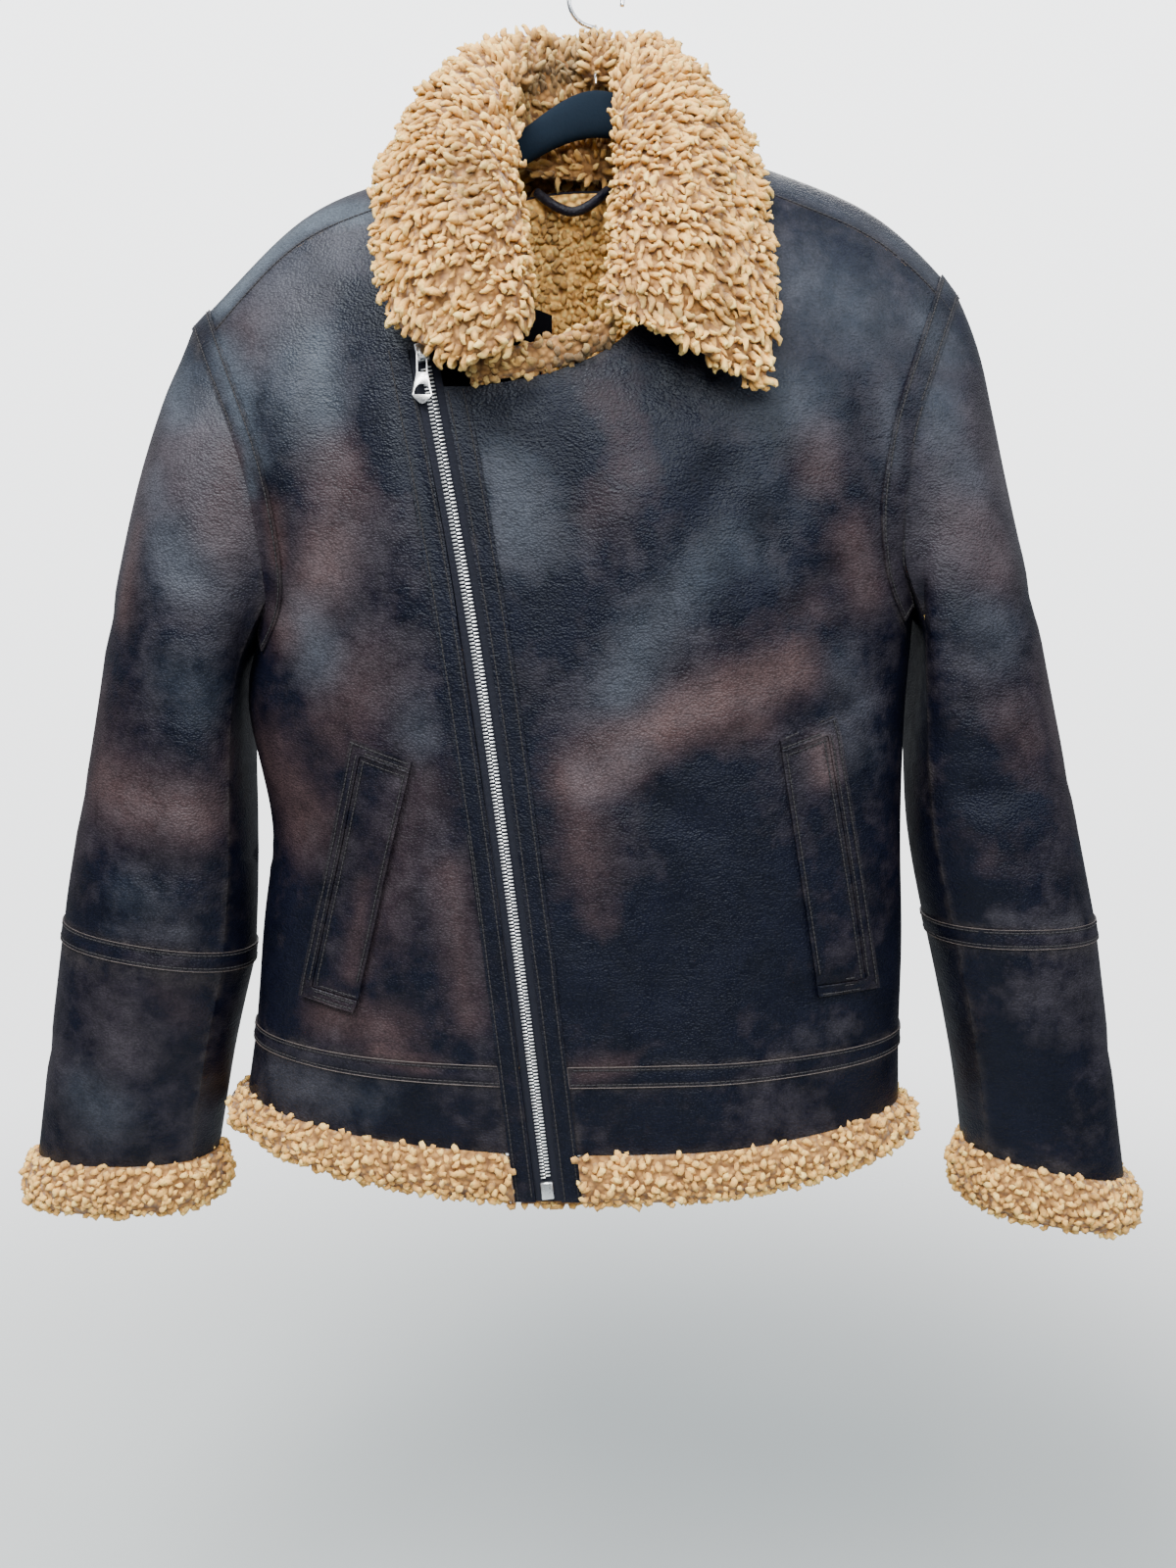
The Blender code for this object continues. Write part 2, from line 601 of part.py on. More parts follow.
def blend(left, right, top, bottom):
    """A Coons patch: places that fill four edges, from the top row down."""
    left, right, top, bottom = (np.asarray(side, float) for side in (left, right, top, bottom))
    v = 1 - (1 - np.linspace(0, 1, len(left))[:, None, None]) ** TOP_FADE
    u = np.linspace(0, 1, len(top))[None, :, None]
    corners = (1 - v) * ((1 - u) * top[0] + u * top[-1]) + v * ((1 - u) * bottom[0] + u * bottom[-1])
    patch = (1 - v) * top[None] + v * bottom[None] + (1 - u) * left[:, None] + u * right[:, None] - corners
    for _ in range(EVENING):
        around = patch[:-2, 1:-1] + patch[2:, 1:-1] + patch[1:-1, :-2] + patch[1:-1, 2:]
        patch[1:-1, 1:-1] = around / 4
    return patch


def zip_pair(side, rows_z):
    """The front's edge beside the zip, and the places a placket's width inside it."""
    sign = -1 if side == "right" else 1
    edge = [(turn_at(zip_x(z) + sign * TAPE_HALF, z), z) for z in rows_z]
    inset = [(turn_at(zip_x(z) + sign * (TAPE_HALF + PLACKET_WIDTH), z), z) for z in rows_z]
    return edge, inset


def panel_rows(top_z, side):
    """Heights of a panel's rows along the edge away from the armhole."""
    turn_z = UNDERARM_Z[side] - ROW_DROP
    upper = list(np.linspace(top_z, turn_z, ARMHOLE_ROWS + 1))
    return upper + list(np.linspace(turn_z, PANEL_FOOT, SIDE_ROWS + 1))[1:]


def bottom_between(first, last, count):
    turns = np.linspace(first[0], last[0], count)
    return [(turn, hem_height(body_point(turn, PANEL_FOOT)[0], PANEL_FOOT)) for turn in turns]


def level_foot(places):
    """The places with their last row on the hem strip's upper edge."""
    for place in places[-1]:
        place[1] = hem_height(body_point(place[0], PANEL_FOOT)[0], PANEL_FOOT)
    return places


def front_right_places():
    side_edge, side_inset = armhole_pair("right", back=False)
    seam = shoulder_seam("right", back=False)
    neck_z = np.linspace(seam[-1][1], ZIP_TOP["right"], NECK_ROWS + 1)
    line_z = [p.z for p in NECKLINE_RIGHT]
    line_x = [p.x for p in NECKLINE_RIGHT]
    neck = [(turn_at(float(spline(line_z, line_x, z)), z), z) for z in neck_z]
    neck[0] = seam[-1]
    turn_z = UNDERARM_Z["right"] - ROW_DROP
    upper = list(np.linspace(ZIP_TOP["right"], turn_z, ARMHOLE_ROWS - NECK_ROWS + 1))[1:]
    lower = list(np.linspace(turn_z, PANEL_FOOT, SIDE_ROWS + 1))[1:]
    zip_edge, zip_inset = zip_pair("right", upper + lower)
    edge = neck + zip_edge
    inset = [beside(*place, -PLACKET_WIDTH) for place in neck] + zip_inset
    inset[0] = seam[-2]
    top = seam[1:-1]
    body = blend(side_inset, inset, top, bottom_between(side_inset[-1], inset[-1], len(top)))
    places = np.concatenate([np.asarray(side_edge)[:, None], body, np.asarray(edge)[:, None]], axis=1)
    return level_foot(places)


def front_left_places():
    side_edge, side_inset = armhole_pair("left", back=False)
    seam = shoulder_seam("left", back=False)
    edge, inset = zip_pair("left", panel_rows(ZIP_TOP["left"], "left"))
    neck = [(turn_at(p.x, p.z), p.z) for p in NECKLINE_LEFT]
    top = [inset[0]] + neck + seam[:0:-1]
    body = blend(inset, side_inset, top, bottom_between(inset[-1], side_inset[-1], len(top)))
    edge, side_edge = np.asarray(edge)[:, None], np.asarray(side_edge)[:, None]
    return level_foot(np.concatenate([edge, body, side_edge], axis=1))


def back_places():
    left_edge, left_inset = armhole_pair("left", back=True)
    right_edge, right_inset = armhole_pair("right", back=True)
    neck = [(turn_at(p.x, p.z, back=True), p.z) for p in BACK_NECK]
    middle = [(neck[1][0], z) for z in panel_rows(neck[1][1], "right")]
    left_top = shoulder_seam("left", back=True)[1:] + neck[:2]
    right_top = neck[1:] + shoulder_seam("right", back=True)[:0:-1]
    left = blend(left_inset, middle, left_top, bottom_between(left_inset[-1], middle[-1], len(left_top)))
    right = blend(middle, right_inset, right_top, bottom_between(middle[-1], right_inset[-1], len(right_top)))
    edges = (np.asarray(left_edge)[:, None], np.asarray(right_edge)[:, None])
    return level_foot(np.concatenate([edges[0], left, right[:, 1:], edges[1]], axis=1))


def read_places(places):
    points = np.array([[body_point(*place) for place in row] for row in places])
    normals = np.array([[body_normal(*place) for place in row] for row in places])
    return points, normals


# ---- meshes ----


def material(name):
    if name in bpy.data.materials:
        return bpy.data.materials[name]
    colour, roughness, metallic = FINISHES[name]
    made = bpy.data.materials.new(name)
    made.use_nodes = True
    shader = made.node_tree.nodes["Principled BSDF"]
    shader.inputs["Base Color"].default_value = colour
    shader.inputs["Roughness"].default_value = roughness
    shader.inputs["Metallic"].default_value = metallic
    made.diffuse_color = colour
    return made


def finish_object(name, mesh, finish):
    mesh.materials.append(material(finish))
    obj = bpy.data.objects.new(name, mesh)
    bpy.data.collections["coat"].objects.link(obj)
    return obj


def mesh_object(name, bm, finish, smooth=True):
    if bm.calc_volume(signed=True) < 0:
        bmesh.ops.reverse_faces(bm, faces=bm.faces)
    mesh = bpy.data.meshes.new(name)
    bm.to_mesh(mesh)
    bm.free()
    if smooth:
        mesh.shade_smooth()
        mesh.set_sharp_from_angle(angle=SHARP_ANGLE)
    return finish_object(name, mesh, finish)


def draw_in(grid, rows=True, columns=True):
    """The grid with its edges half a seam gap inside where they were."""
    grid = grid.copy()
    if rows:
        for edge, inside in ((0, 1), (-1, -2)):
            step = grid[inside] - grid[edge]
            grid[edge] += step / np.linalg.norm(step, axis=-1, keepdims=True) * SEAM_GAP / 2
    if columns:
        for edge, inside in ((0, 1), (-1, -2)):
            step = grid[:, inside] - grid[:, edge]
            grid[:, edge] += step / np.linalg.norm(step, axis=-1, keepdims=True) * SEAM_GAP / 2
    return grid


def add_split(bm, quad, first):
    """Two triangles, split through the first and third corners, or through the others."""
    a, b, c, d = quad
    if first:
        bm.faces.new((a, b, c))
        bm.faces.new((a, c, d))
    else:
        bm.faces.new((a, b, d))
        bm.faces.new((b, c, d))


SPLIT_WAY = Vector((1.0, 0.7, 1.3))  # a direction in which no two corners of a quad are level


def add_quad(bm, *quad):
    """A seam's quad, split the same way whatever corner comes first, so that neighbours match."""
    lowest = min(quad, key=lambda vert: vert.co.dot(SPLIT_WAY))
    add_split(bm, quad, lowest in (quad[0], quad[2]))


def wall(name, outer, inner, finish, tube=False, guide=None):
    """A closed wall between two grids of points. The columns of a tube join up.

    Each quad is split along the guide's shorter diagonal, on both faces alike."""
    guide = outer if guide is None else guide
    outer, inner = draw_in(outer, columns=not tube), draw_in(inner, columns=not tube)
    rows, columns = outer.shape[:2]
    bm = bmesh.new()
    out = [[bm.verts.new(point) for point in row] for row in outer]
    into = [[bm.verts.new(point) for point in row] for row in inner]
    last = columns if tube else columns - 1
    for i in range(rows - 1):
        for j in range(last):
            k = (j + 1) % columns
            falls = np.linalg.norm(guide[i, j] - guide[i + 1, k])
            rises = np.linalg.norm(guide[i, k] - guide[i + 1, j])
            falling = falls < rises
            add_split(bm, (out[i][j], out[i][k], out[i + 1][k], out[i + 1][j]), falling)
            add_split(bm, (into[i][j], into[i + 1][j], into[i + 1][k], into[i][k]), falling)
    for j in range(last):
        k = (j + 1) % columns
        add_quad(bm, out[0][j], into[0][j], into[0][k], out[0][k])
        add_quad(bm, out[-1][j], out[-1][k], into[-1][k], into[-1][j])
    if not tube:
        for i in range(rows - 1):
            add_quad(bm, out[i][0], out[i + 1][0], into[i + 1][0], into[i][0])
            add_quad(bm, out[i][-1], into[i][-1], into[i + 1][-1], out[i + 1][-1])
    return mesh_object(name, bm, finish)


def solid_loft(name, rings, finish):
    """A closed solid through rings of points, with flat ends."""
    bm = bmesh.new()
    verts = [[bm.verts.new(point) for point in ring] for ring in rings]
    for a, b in zip(verts, verts[1:]):
        for j in range(len(a)):
            k = (j + 1) % len(a)
            bm.faces.new((a[j], a[k], b[k], b[j]))
    bm.faces.new(verts[0][::-1])
    bm.faces.new(verts[-1])
    return mesh_object(name, bm, finish)


def tube_object(name, points, radius, finish):
    """A wire with filled ends, as one welded mesh."""
    curve = bpy.data.curves.new(name, "CURVE")
    curve.dimensions = "3D"
    curve.bevel_depth = radius
    curve.bevel_resolution = 2
    curve.use_fill_caps = True
    line = curve.splines.new("POLY")
    line.points.add(len(points) - 1)
    for slot, point in zip(line.points, points):
        slot.co = (*point, 1)
    guide = bpy.data.objects.new(name + "_line", curve)
    bpy.context.scene.collection.objects.link(guide)
    mesh = bpy.data.meshes.new_from_object(guide.evaluated_get(bpy.context.evaluated_depsgraph_get()))
    bpy.data.objects.remove(guide)
    bm = bmesh.new()
    bm.from_mesh(mesh)
    bmesh.ops.remove_doubles(bm, verts=bm.verts, dist=0.00001)
    mesh.materials.clear()
    return mesh_object(name, bm, finish)


# ---- sleeves ----


def ring_points(ring, side):
    """A sleeve's ring, from its inner fold up the front, over the outer fold and down the back."""
    outer = np.array([ring.outer_x, 0, ring.outer_z])
    inner = np.array([ring.inner_x, 0, ring.inner_z])
    inwards = 1 if side == "right" else -1
    points = []
    for k in range(RING_POINTS):
        angle = math.pi - 2 * math.pi * k / RING_POINTS
        across = powered(math.cos(angle), SLEEVE_SQUARENESS)
        out = powered(math.sin(angle), SLEEVE_SQUARENESS)
        depth = ring.front if out > 0 else ring.back
        point = (outer + inner) / 2 + across * (outer - inner) / 2
        point = point + np.array([inwards * ring.inset * out * out, -depth * out, 0])
        points.append(point + sleeve_fold(angle, point[2]) * unit(np.array([-inwards * across, -out, 0])))
    return np.array(points)


def sleeve_fold(angle, z):
    total = 0.0
    for fold in SLEEVE_FOLDS:
        around = (math.degrees(angle) - fold.angle + 180) % 360 - 180
        q = (around / fold.half_angle) ** 2 + ((z - fold.z) / fold.half_length) ** 2
        total += fold.depth * math.exp(-q)
    return total


def resample(table, steps):
    """The table's sections with others between them."""
    places = np.arange(len(table))
    values = np.array(table)
    return [type(table[0])(*spline(places, values, at)) for at in np.linspace(0, len(table) - 1, steps)]


def tube_normals(grid):
    """Outward normals of a tube's rings."""
    around = np.roll(grid, -1, axis=1) - np.roll(grid, 1, axis=1)
    along = np.gradient(grid, axis=0)
    normals = np.cross(around, along)
    normals /= np.linalg.norm(normals, axis=-1, keepdims=True)
    if np.sum(normals * (grid - grid.mean(axis=1, keepdims=True))) < 0:
        normals = -normals
    return normals


def side_first(points, normals, side, name):
    """The grid turned so that this side's armhole is its first column."""
    turned = (name == "front" and side == "left") or (name == "back" and side == "right")
    return (points[:, ::-1], normals[:, ::-1]) if turned else (points, normals)


def sleeve_grids(side, seam):
    upper = resample(UPPER_SLEEVE[side], UPPER_RINGS)
    grid = np.concatenate([seam[None], [ring_points(ring, side) for ring in upper]])
    forearm = np.array([ring_points(ring, side) for ring in resample(FOREARM[side], FOREARM_RINGS)])
    whole = np.concatenate([grid, forearm])
    normals = tube_normals(whole)
    return whole, normals, len(grid) - 1


def build_sleeve(side, whole, normals, band_row):
    inner = whole - WALL * normals
    n, u = RING_POINTS, UNDER_COLUMNS
    top = list(range(u, n - u + 1))
    under = [k % n for k in range(n - u, n + u + 1)]
    upper, lower = slice(0, band_row + 1), slice(band_row + 1, None)
    for part, rows in (("sleeve", upper), ("forearm", lower)):
        for panel, columns in (("top", top), ("under", under)):
            wall(f"{part}_{panel}_{side}", whole[rows][:, columns], inner[rows][:, columns], "leather")
    band = slice(band_row, band_row + 2)
    wall(f"sleeve_band_{side}", whole[band] + RAISED * normals[band], inner[band], "leather", tube=True)
    build_cuff(side)


def build_cuff(side):
    start, foot = FOREARM[side][-1], CUFF_FOOT[side]
    rings = []
    for roll in FUR_ROLL:
        ring = Ring(*(np.array(start) * (1 - roll.share) + np.array(foot) * roll.share))
        rings.append(ring_points(ring, side))
    grid = np.array(rings)
    normals = tube_normals(grid)
    outer = np.array([roll.outer for roll in FUR_ROLL])[:, None, None]
    inner = np.array([roll.inner for roll in FUR_ROLL])[:, None, None]
    wall(f"cuff_fur_{side}", grid + outer * normals, grid + inner * normals, "fur", tube=True)


# ---- body pieces ----


def strip_grid(side):
    """The shoulder strip's points and normals: its rows run from the armhole to the neck."""
    shares = np.linspace(0, 1, SHOULDER_ROWS)
    angles = np.linspace(-SEAM_ANGLE, SEAM_ANGLE, SHOULDER_ROWS)
    columns = [shoulder_xs(side, share) for share in shares]
    rows = [list(zip(xs, angles)) for xs in zip(*columns)]
    points = np.array([[shoulder_point(*place) for place in row] for row in rows])
    normals = np.array([[shoulder_normal(*place) for place in row] for row in rows])
    return points, normals


def hem_grid(turns, heights, zip_side=None):
    """Points and normals of hem rows. A front's zip column follows the zip's line."""
    sign = -1 if zip_side == "right" else 1
    points, normals = [], []
    for height in heights:
        row_turns = list(turns)
        if zip_side:
            edge_turn = turn_at(zip_x(height) + sign * (TAPE_HALF + PLACKET_WIDTH), height)
            fixed = 0.0 if zip_side == "right" else 1.0
            moving = turns[-1] if zip_side == "right" else turns[0]
            row_turns = [fixed + (turn - fixed) * (edge_turn - fixed) / (moving - fixed) for turn in turns]
        row = []
        for turn in row_turns:
            row.append((turn, hem_height(body_point(turn, height)[0], height)))
        points.append([body_point(*place) for place in row])
        normals.append([body_normal(*place) for place in row])
    return np.array(points), np.array(normals)


def build_hem(name, turns, zip_side=None):
    points, normals = hem_grid(turns, [PANEL_FOOT, STRIP_FOOT], zip_side)
    wall(f"hem_strip_{name}", points + RAISED * normals, points - WALL * normals, "leather")
    points, normals = hem_grid(turns, [STRIP_FOOT, (STRIP_FOOT + LEATHER_FOOT) / 2, LEATHER_FOOT], zip_side)
    wall(f"hem_panel_{name}", points, points - WALL * normals, "leather")
    heights = [LEATHER_FOOT + roll.share * (FUR_FOOT - LEATHER_FOOT) for roll in FUR_ROLL]
    points, normals = hem_grid(turns, heights, zip_side)
    outer = np.array([roll.outer for roll in FUR_ROLL])[:, None, None]
    inner = np.array([roll.inner for roll in FUR_ROLL])[:, None, None]
    wall(f"hem_fur_{name}", points + outer * normals, points + inner * normals, "fur")


def laid(name, points, normals, thick, finish, gap=LAID_GAP):
    wall(name, points + (gap + thick) * normals, points + gap * normals, finish, guide=points)


def build_zip(side, points, normals, first_row):
    """The placket on a front's edge columns, then on down past the hem, and half of the tape."""
    sign = -1 if side == "right" else 1
    columns = slice(-2, None) if side == "right" else slice(0, 2)
    upper_p, upper_n = points[first_row:, columns], normals[first_row:, columns]
    heights = [PANEL_FOOT - drop for drop in PLACKET_STEP]
    heights += [STRIP_FOOT, (STRIP_FOOT + LEATHER_FOOT) / 2, LEATHER_FOOT, PLACKET_FOOT]
    xs = [sign * (TAPE_HALF + PLACKET_WIDTH), sign * TAPE_HALF]
    if side == "left":
        xs = xs[::-1]
    places = [[(turn_at(zip_x(z) + x, z), z) for x in xs] for z in heights]
    lower_p, lower_n = read_places(places)
    all_p, all_n = np.concatenate([upper_p, lower_p]), np.concatenate([upper_n, lower_n])
    outer = all_p + (LAID_GAP + STRIP_THICK) * all_n
    depth = np.array([LAID_GAP] * (len(upper_p) + 1) + [-WALL] * (len(lower_p) - 1))[:, None, None]
    wall(f"zip_placket_{side}", outer, all_p + depth * all_n, "leather", guide=all_p)


def zip_strip(name, x_from, x_to, top, foot, low, high, finish):
    rows = np.linspace(top, foot, ZIP_ROWS)
    places = [[(turn_at(zip_x(z) + x, z), z) for x in (x_from, x_to)] for z in rows]
    points, normals = read_places(places)
    wall(name, points + high * normals, points + low * normals, finish)


def build_zip_middle():
    low, high = -TAPE_SINK - TAPE_THICK, -TAPE_SINK
    edge = TAPE_HALF - TAPE_ROOM
    zip_strip("zip_tape_right", -edge, 0, ZIP_TOP["right"], PLACKET_FOOT, low, high, "zip_cloth")
    zip_strip("zip_tape_left", 0, edge, ZIP_TOP["right"], PLACKET_FOOT, low, high, "zip_cloth")
    under = high + LAID_GAP
    zip_strip("zip_chain", -CHAIN_HALF, CHAIN_HALF, CHAIN_TOP, CHAIN_FOOT, under, CHAIN_PROUD, "metal")


def build_welt(side):
    corners = [np.array(corner) for corner in WELTS[side]]
    top_outer, top_inner, foot_inner, foot_outer = corners

    def grid(rows, columns):
        """Places by their share down the welt and from its outer side across it."""
        places = []
        for v in rows:
            outer = top_outer + v * (foot_outer - top_outer)
            inner = top_inner + v * (foot_inner - top_inner)
            row = [outer + u * (inner - outer) for u in columns]
            places.append([(turn_at(x, z), z) for x, z in row])
        return read_places(places)

    height = np.linalg.norm(foot_outer - top_outer)
    width = np.linalg.norm(top_inner - top_outer)
    rim_v, rim_u = FRAME_WIDTH / height, FRAME_WIDTH / width
    points, normals = grid(np.linspace(rim_v, 1 - rim_v, WELT_ROWS), np.linspace(rim_u, 1, WELT_COLUMNS))
    laid(f"pocket_welt_{side}", points, normals, WELT_THICK, "leather", WELT_GAP)

    # The frame goes across the top, down the outer side and back across the foot.
    outside = [(0, 1), (0, 0.5), (0, 0)]
    outside += [(v, 0) for v in np.linspace(0, 1, WELT_ROWS)[1:-1]]
    outside += [(1, 0), (1, 0.5), (1, 1)]
    inside = [(rim_v, 1), (rim_v, 0.5), (rim_v, rim_u)]
    inside += [(v, rim_u) for v in np.linspace(rim_v, 1 - rim_v, WELT_ROWS)[1:-1]]
    inside += [(1 - rim_v, rim_u), (1 - rim_v, 0.5), (1 - rim_v, 1)]
    pairs = [(grid([v], [u]), grid([w], [s])) for (v, u), (w, s) in zip(outside, inside)]
    points = np.array([[a[0][0, 0], b[0][0, 0]] for a, b in pairs])
    normals = np.array([[a[1][0, 0], b[1][0, 0]] for a, b in pairs])
    laid(f"pocket_frame_{side}", points, normals, FRAME_THICK, "leather", WELT_GAP)


def build_body():
    right_places = front_right_places()
    left_places = front_left_places()
    back = back_places()
    places = {"front_right": right_places, "front_left": left_places, "back": back}
    grids = {name: read_places(panel) for name, panel in places.items()}
    strips = {side: strip_grid(side) for side in ("right", "left")}
    share_shoulder_normals(grids, strips)
    for side in ("right", "left"):
        join_sleeve(side, grids, strips[side])
        points, normals = strips[side]
        wall(f"shoulder_strip_{side}", points, points - WALL * normals, "leather")
    for name, (points, normals) in grids.items():
        wall(name, points, points - WALL * normals, "leather")
    build_zip("right", *grids["front_right"], NECK_ROWS)
    build_zip("left", *grids["front_left"], 0)
    build_neck_edge(*grids["front_left"])
    build_hem("right", right_places[-1, :-1, 0], "right")
    build_hem("left", left_places[-1, 1:, 0], "left")
    build_hem("back", back[-1, :, 0])


def share_shoulder_normals(grids, strips):
    """Panels take the shoulder strip's normals along its seams, so that their walls meet squarely."""
    n = SHOULDER_COLUMNS + 1
    grids["front_right"][1][0, :n] = strips["right"][1][:, 0]
    grids["front_left"][1][0, -n:] = strips["left"][1][::-1, 0]
    grids["back"][1][0, :n] = strips["left"][1][:, -1]
    grids["back"][1][0, -n:] = strips["right"][1][::-1, -1]


def join_sleeve(side, grids, strip):
    """Builds the sleeve and the armhole tape, with one normal for all at the armhole seam."""
    front_points, front_normals = side_first(*grids[f"front_{side}"], side, "front")
    back_points, back_normals = side_first(*grids["back"], side, "back")
    strip_points, strip_normals = strip
    m = ARMHOLE_ROWS + 1
    over_points = strip_points[:2, 1:-1].swapaxes(0, 1)
    over_normals = strip_normals[:2, 1:-1].swapaxes(0, 1)
    points = np.concatenate([front_points[:m, :2][::-1], over_points, back_points[:m, :2]])
    normals = np.concatenate([front_normals[:m, :2][::-1], over_normals, back_normals[:m, :2]])
    seam = points[:-1, 0]
    whole, sleeve_normals, band_row = sleeve_grids(side, seam)
    shared = []
    for k in range(len(points) - 1):
        to_body = unit(points[k, 1] - points[k, 0]) if k else np.array([0, 0, -1.0])
        to_sleeve = unit(whole[1, k] - whole[0, k])
        between = normals[k, 0] + sleeve_normals[0, k] + SEAM_LEAN * (to_body + to_sleeve)
        shared.append(SEAM_SHARE * unit(between))
    shared = np.array(shared)
    sleeve_normals[0] = shared
    closed = np.concatenate([shared, shared[:1]])
    normals[:, 0] = closed
    front_normals[:m, 0] = closed[:m][::-1]
    over_end = m - 2 + SHOULDER_ROWS
    strip_normals[0] = closed[m - 1 : over_end + 1]
    back_normals[:m, 0] = closed[over_end:]
    laid(f"armhole_tape_{side}", points[1:-1], normals[1:-1], STRIP_THICK, "leather")
    build_sleeve(side, whole, sleeve_normals, band_row)


def build_neck_edge(points, normals):
    """The pile that stands up along the left front's neckline."""
    rows = []
    base_p, base_n = points[0, 1 : 1 + NECK_EDGE_COLUMNS], normals[0, 1 : 1 + NECK_EDGE_COLUMNS]
    for roll in FUR_ROLL:
        up = np.array([0, 0, roll.share * NECK_EDGE_HEIGHT])
        rows.append((base_p + up, roll.outer * NECK_EDGE_OUTER, roll.inner * NECK_EDGE_INNER))
    outer = np.array([p + o * base_n for p, o, _ in rows])
    inner = np.array([p + i * base_n for p, _, i in rows])
    wall("neck_edge_fur", outer, inner, "fur")


def build_fur_backing():
    """The pile that shows under the zip's foot."""
    places = [[(turn_at(zip_x(z) + x, z), z) for x in BACKING_XS] for z in BACKING_ZS]
    points, normals = read_places(places)
    wall("zip_fur_backing", points - BACKING_FRONT * normals, points - BACKING_REAR * normals, "fur")


# ---- collar ----


def build_collar():
    stations = np.array(COLLAR)  # stations, points, coordinates
    rows = (len(stations) - 1) * COLLAR_STEPS + 1
    along = [spline(np.arange(len(stations)), stations, at) for at in np.linspace(0, len(stations) - 1, rows)]
    middle = []
    for neck, crest, leaf, edge in along:
        # The fold at the crest is round: the stand and the leaf lie a roll apart under it.
        up = unit(unit(crest - neck) + unit(crest - leaf))
        apart = unit((leaf - neck) - ((leaf - neck) @ up) * up)
        stand_top, leaf_top = (crest + CREST_ROLL * (side * apart - CREST_DROP * up) for side in (-1, 1))
        section = np.array([neck, stand_top, crest, leaf_top, leaf, edge])
        middle.append([spline(SECTION_SHARES, section, at) for at in np.linspace(0, 1, COLLAR_COLUMNS)])
    middle = np.array(middle)
    normals = np.cross(np.gradient(middle, axis=1), np.gradient(middle, axis=0))
    normals /= np.linalg.norm(normals, axis=-1, keepdims=True)
    halves = [STAND_HALF, STAND_HALF, LEAF_HALF, LEAF_HALF, COLLAR_EDGE_HALF]
    half = np.array([spline(HALF_SHARES, halves, at) for at in np.linspace(0, 1, COLLAR_COLUMNS)])
    half = half[None, :, None]
    wall("collar", middle + half * normals, middle - half * normals, "fur")


# ---- hanger ----


def build_hanger():
    rings = []
    for arm in HANGER:
        ring = []
        for k in range(HANGER_SIDES):
            angle = 2 * math.pi * k / HANGER_SIDES
            y = arm.half_depth * powered(math.cos(angle), HANGER_SQUARENESS)
            z = arm.middle_z + arm.half_height * powered(math.sin(angle), HANGER_SQUARENESS)
            ring.append((arm.x, y, z))
        rings.append(ring)
    solid_loft("hanger", rings, "hanger_plastic")


def build_hook():
    radius = HOOK_INNER + HOOK_WIRE
    centre_z = -HOOK_INNER
    points = [(0, 0, HOOK_FOOT), (0, 0, (HOOK_FOOT + centre_z - radius) / 2)]
    for step in range(HOOK_STEPS + 1):
        angle = math.radians(HOOK_START + (HOOK_END - HOOK_START) * step / HOOK_STEPS)
        points.append((radius * math.cos(angle), 0, centre_z + radius * math.sin(angle)))
    tube_object("hanger_hook", points, HOOK_WIRE, "metal")


def build_loop():
    places = np.linspace(0, len(LOOP_LINE) - 1, LOOP_STEPS)
    points = [spline(np.arange(len(LOOP_LINE)), LOOP_LINE, at) for at in places]
    tube_object("hang_loop", points, LOOP_RADIUS, "leather")


# ---- slider, pull and box ----


def zip_place(z):
    return turn_at(zip_x(z), z), z


def zip_frame(z):
    """A frame on the zip: Y points into the coat and Z runs up the chain."""
    along = unit(body_point(*zip_place(z + 0.004)) - body_point(*zip_place(z - 0.004)))
    outwards = body_normal(*zip_place(z))
    across = unit(np.cross(along, outwards))
    outwards = np.cross(across, along)
    frame = np.eye(4)
    frame[:3, :] = np.stack([across, -outwards, along, body_point(*zip_place(z))], axis=1)
    return Matrix(frame)


def metal_block(name, x_size, z_size, proud, z):
    """A block with eased edges on the zip's line, its back just over the tape."""
    bm = bmesh.new()
    bmesh.ops.create_cube(bm, size=1)
    bmesh.ops.scale(bm, vec=(x_size, proud + BLOCK_SINK, z_size), verts=bm.verts)
    bmesh.ops.bevel(bm, geom=bm.edges, offset=BLOCK_BEVEL, segments=1, affect="EDGES")
    obj = mesh_object(name, bm, "metal")
    obj.matrix_world = zip_frame(z) @ Matrix.Translation((0, (BLOCK_SINK - proud) / 2, 0))
    return obj


def prism(name, outline, half_width, finish):
    """An outline in Y and Z, made this wide each way along X."""
    bm = bmesh.new()
    left = [bm.verts.new((-half_width, y, z)) for y, z in outline]
    right = [bm.verts.new((half_width, y, z)) for y, z in outline]
    bm.faces.new(left)
    bm.faces.new(right[::-1])
    for j in range(len(outline)):
        k = (j + 1) % len(outline)
        bm.faces.new((left[j], right[j], right[k], left[k]))
    bmesh.ops.recalc_face_normals(bm, faces=bm.faces)
    return mesh_object(name, bm, finish, smooth=False)


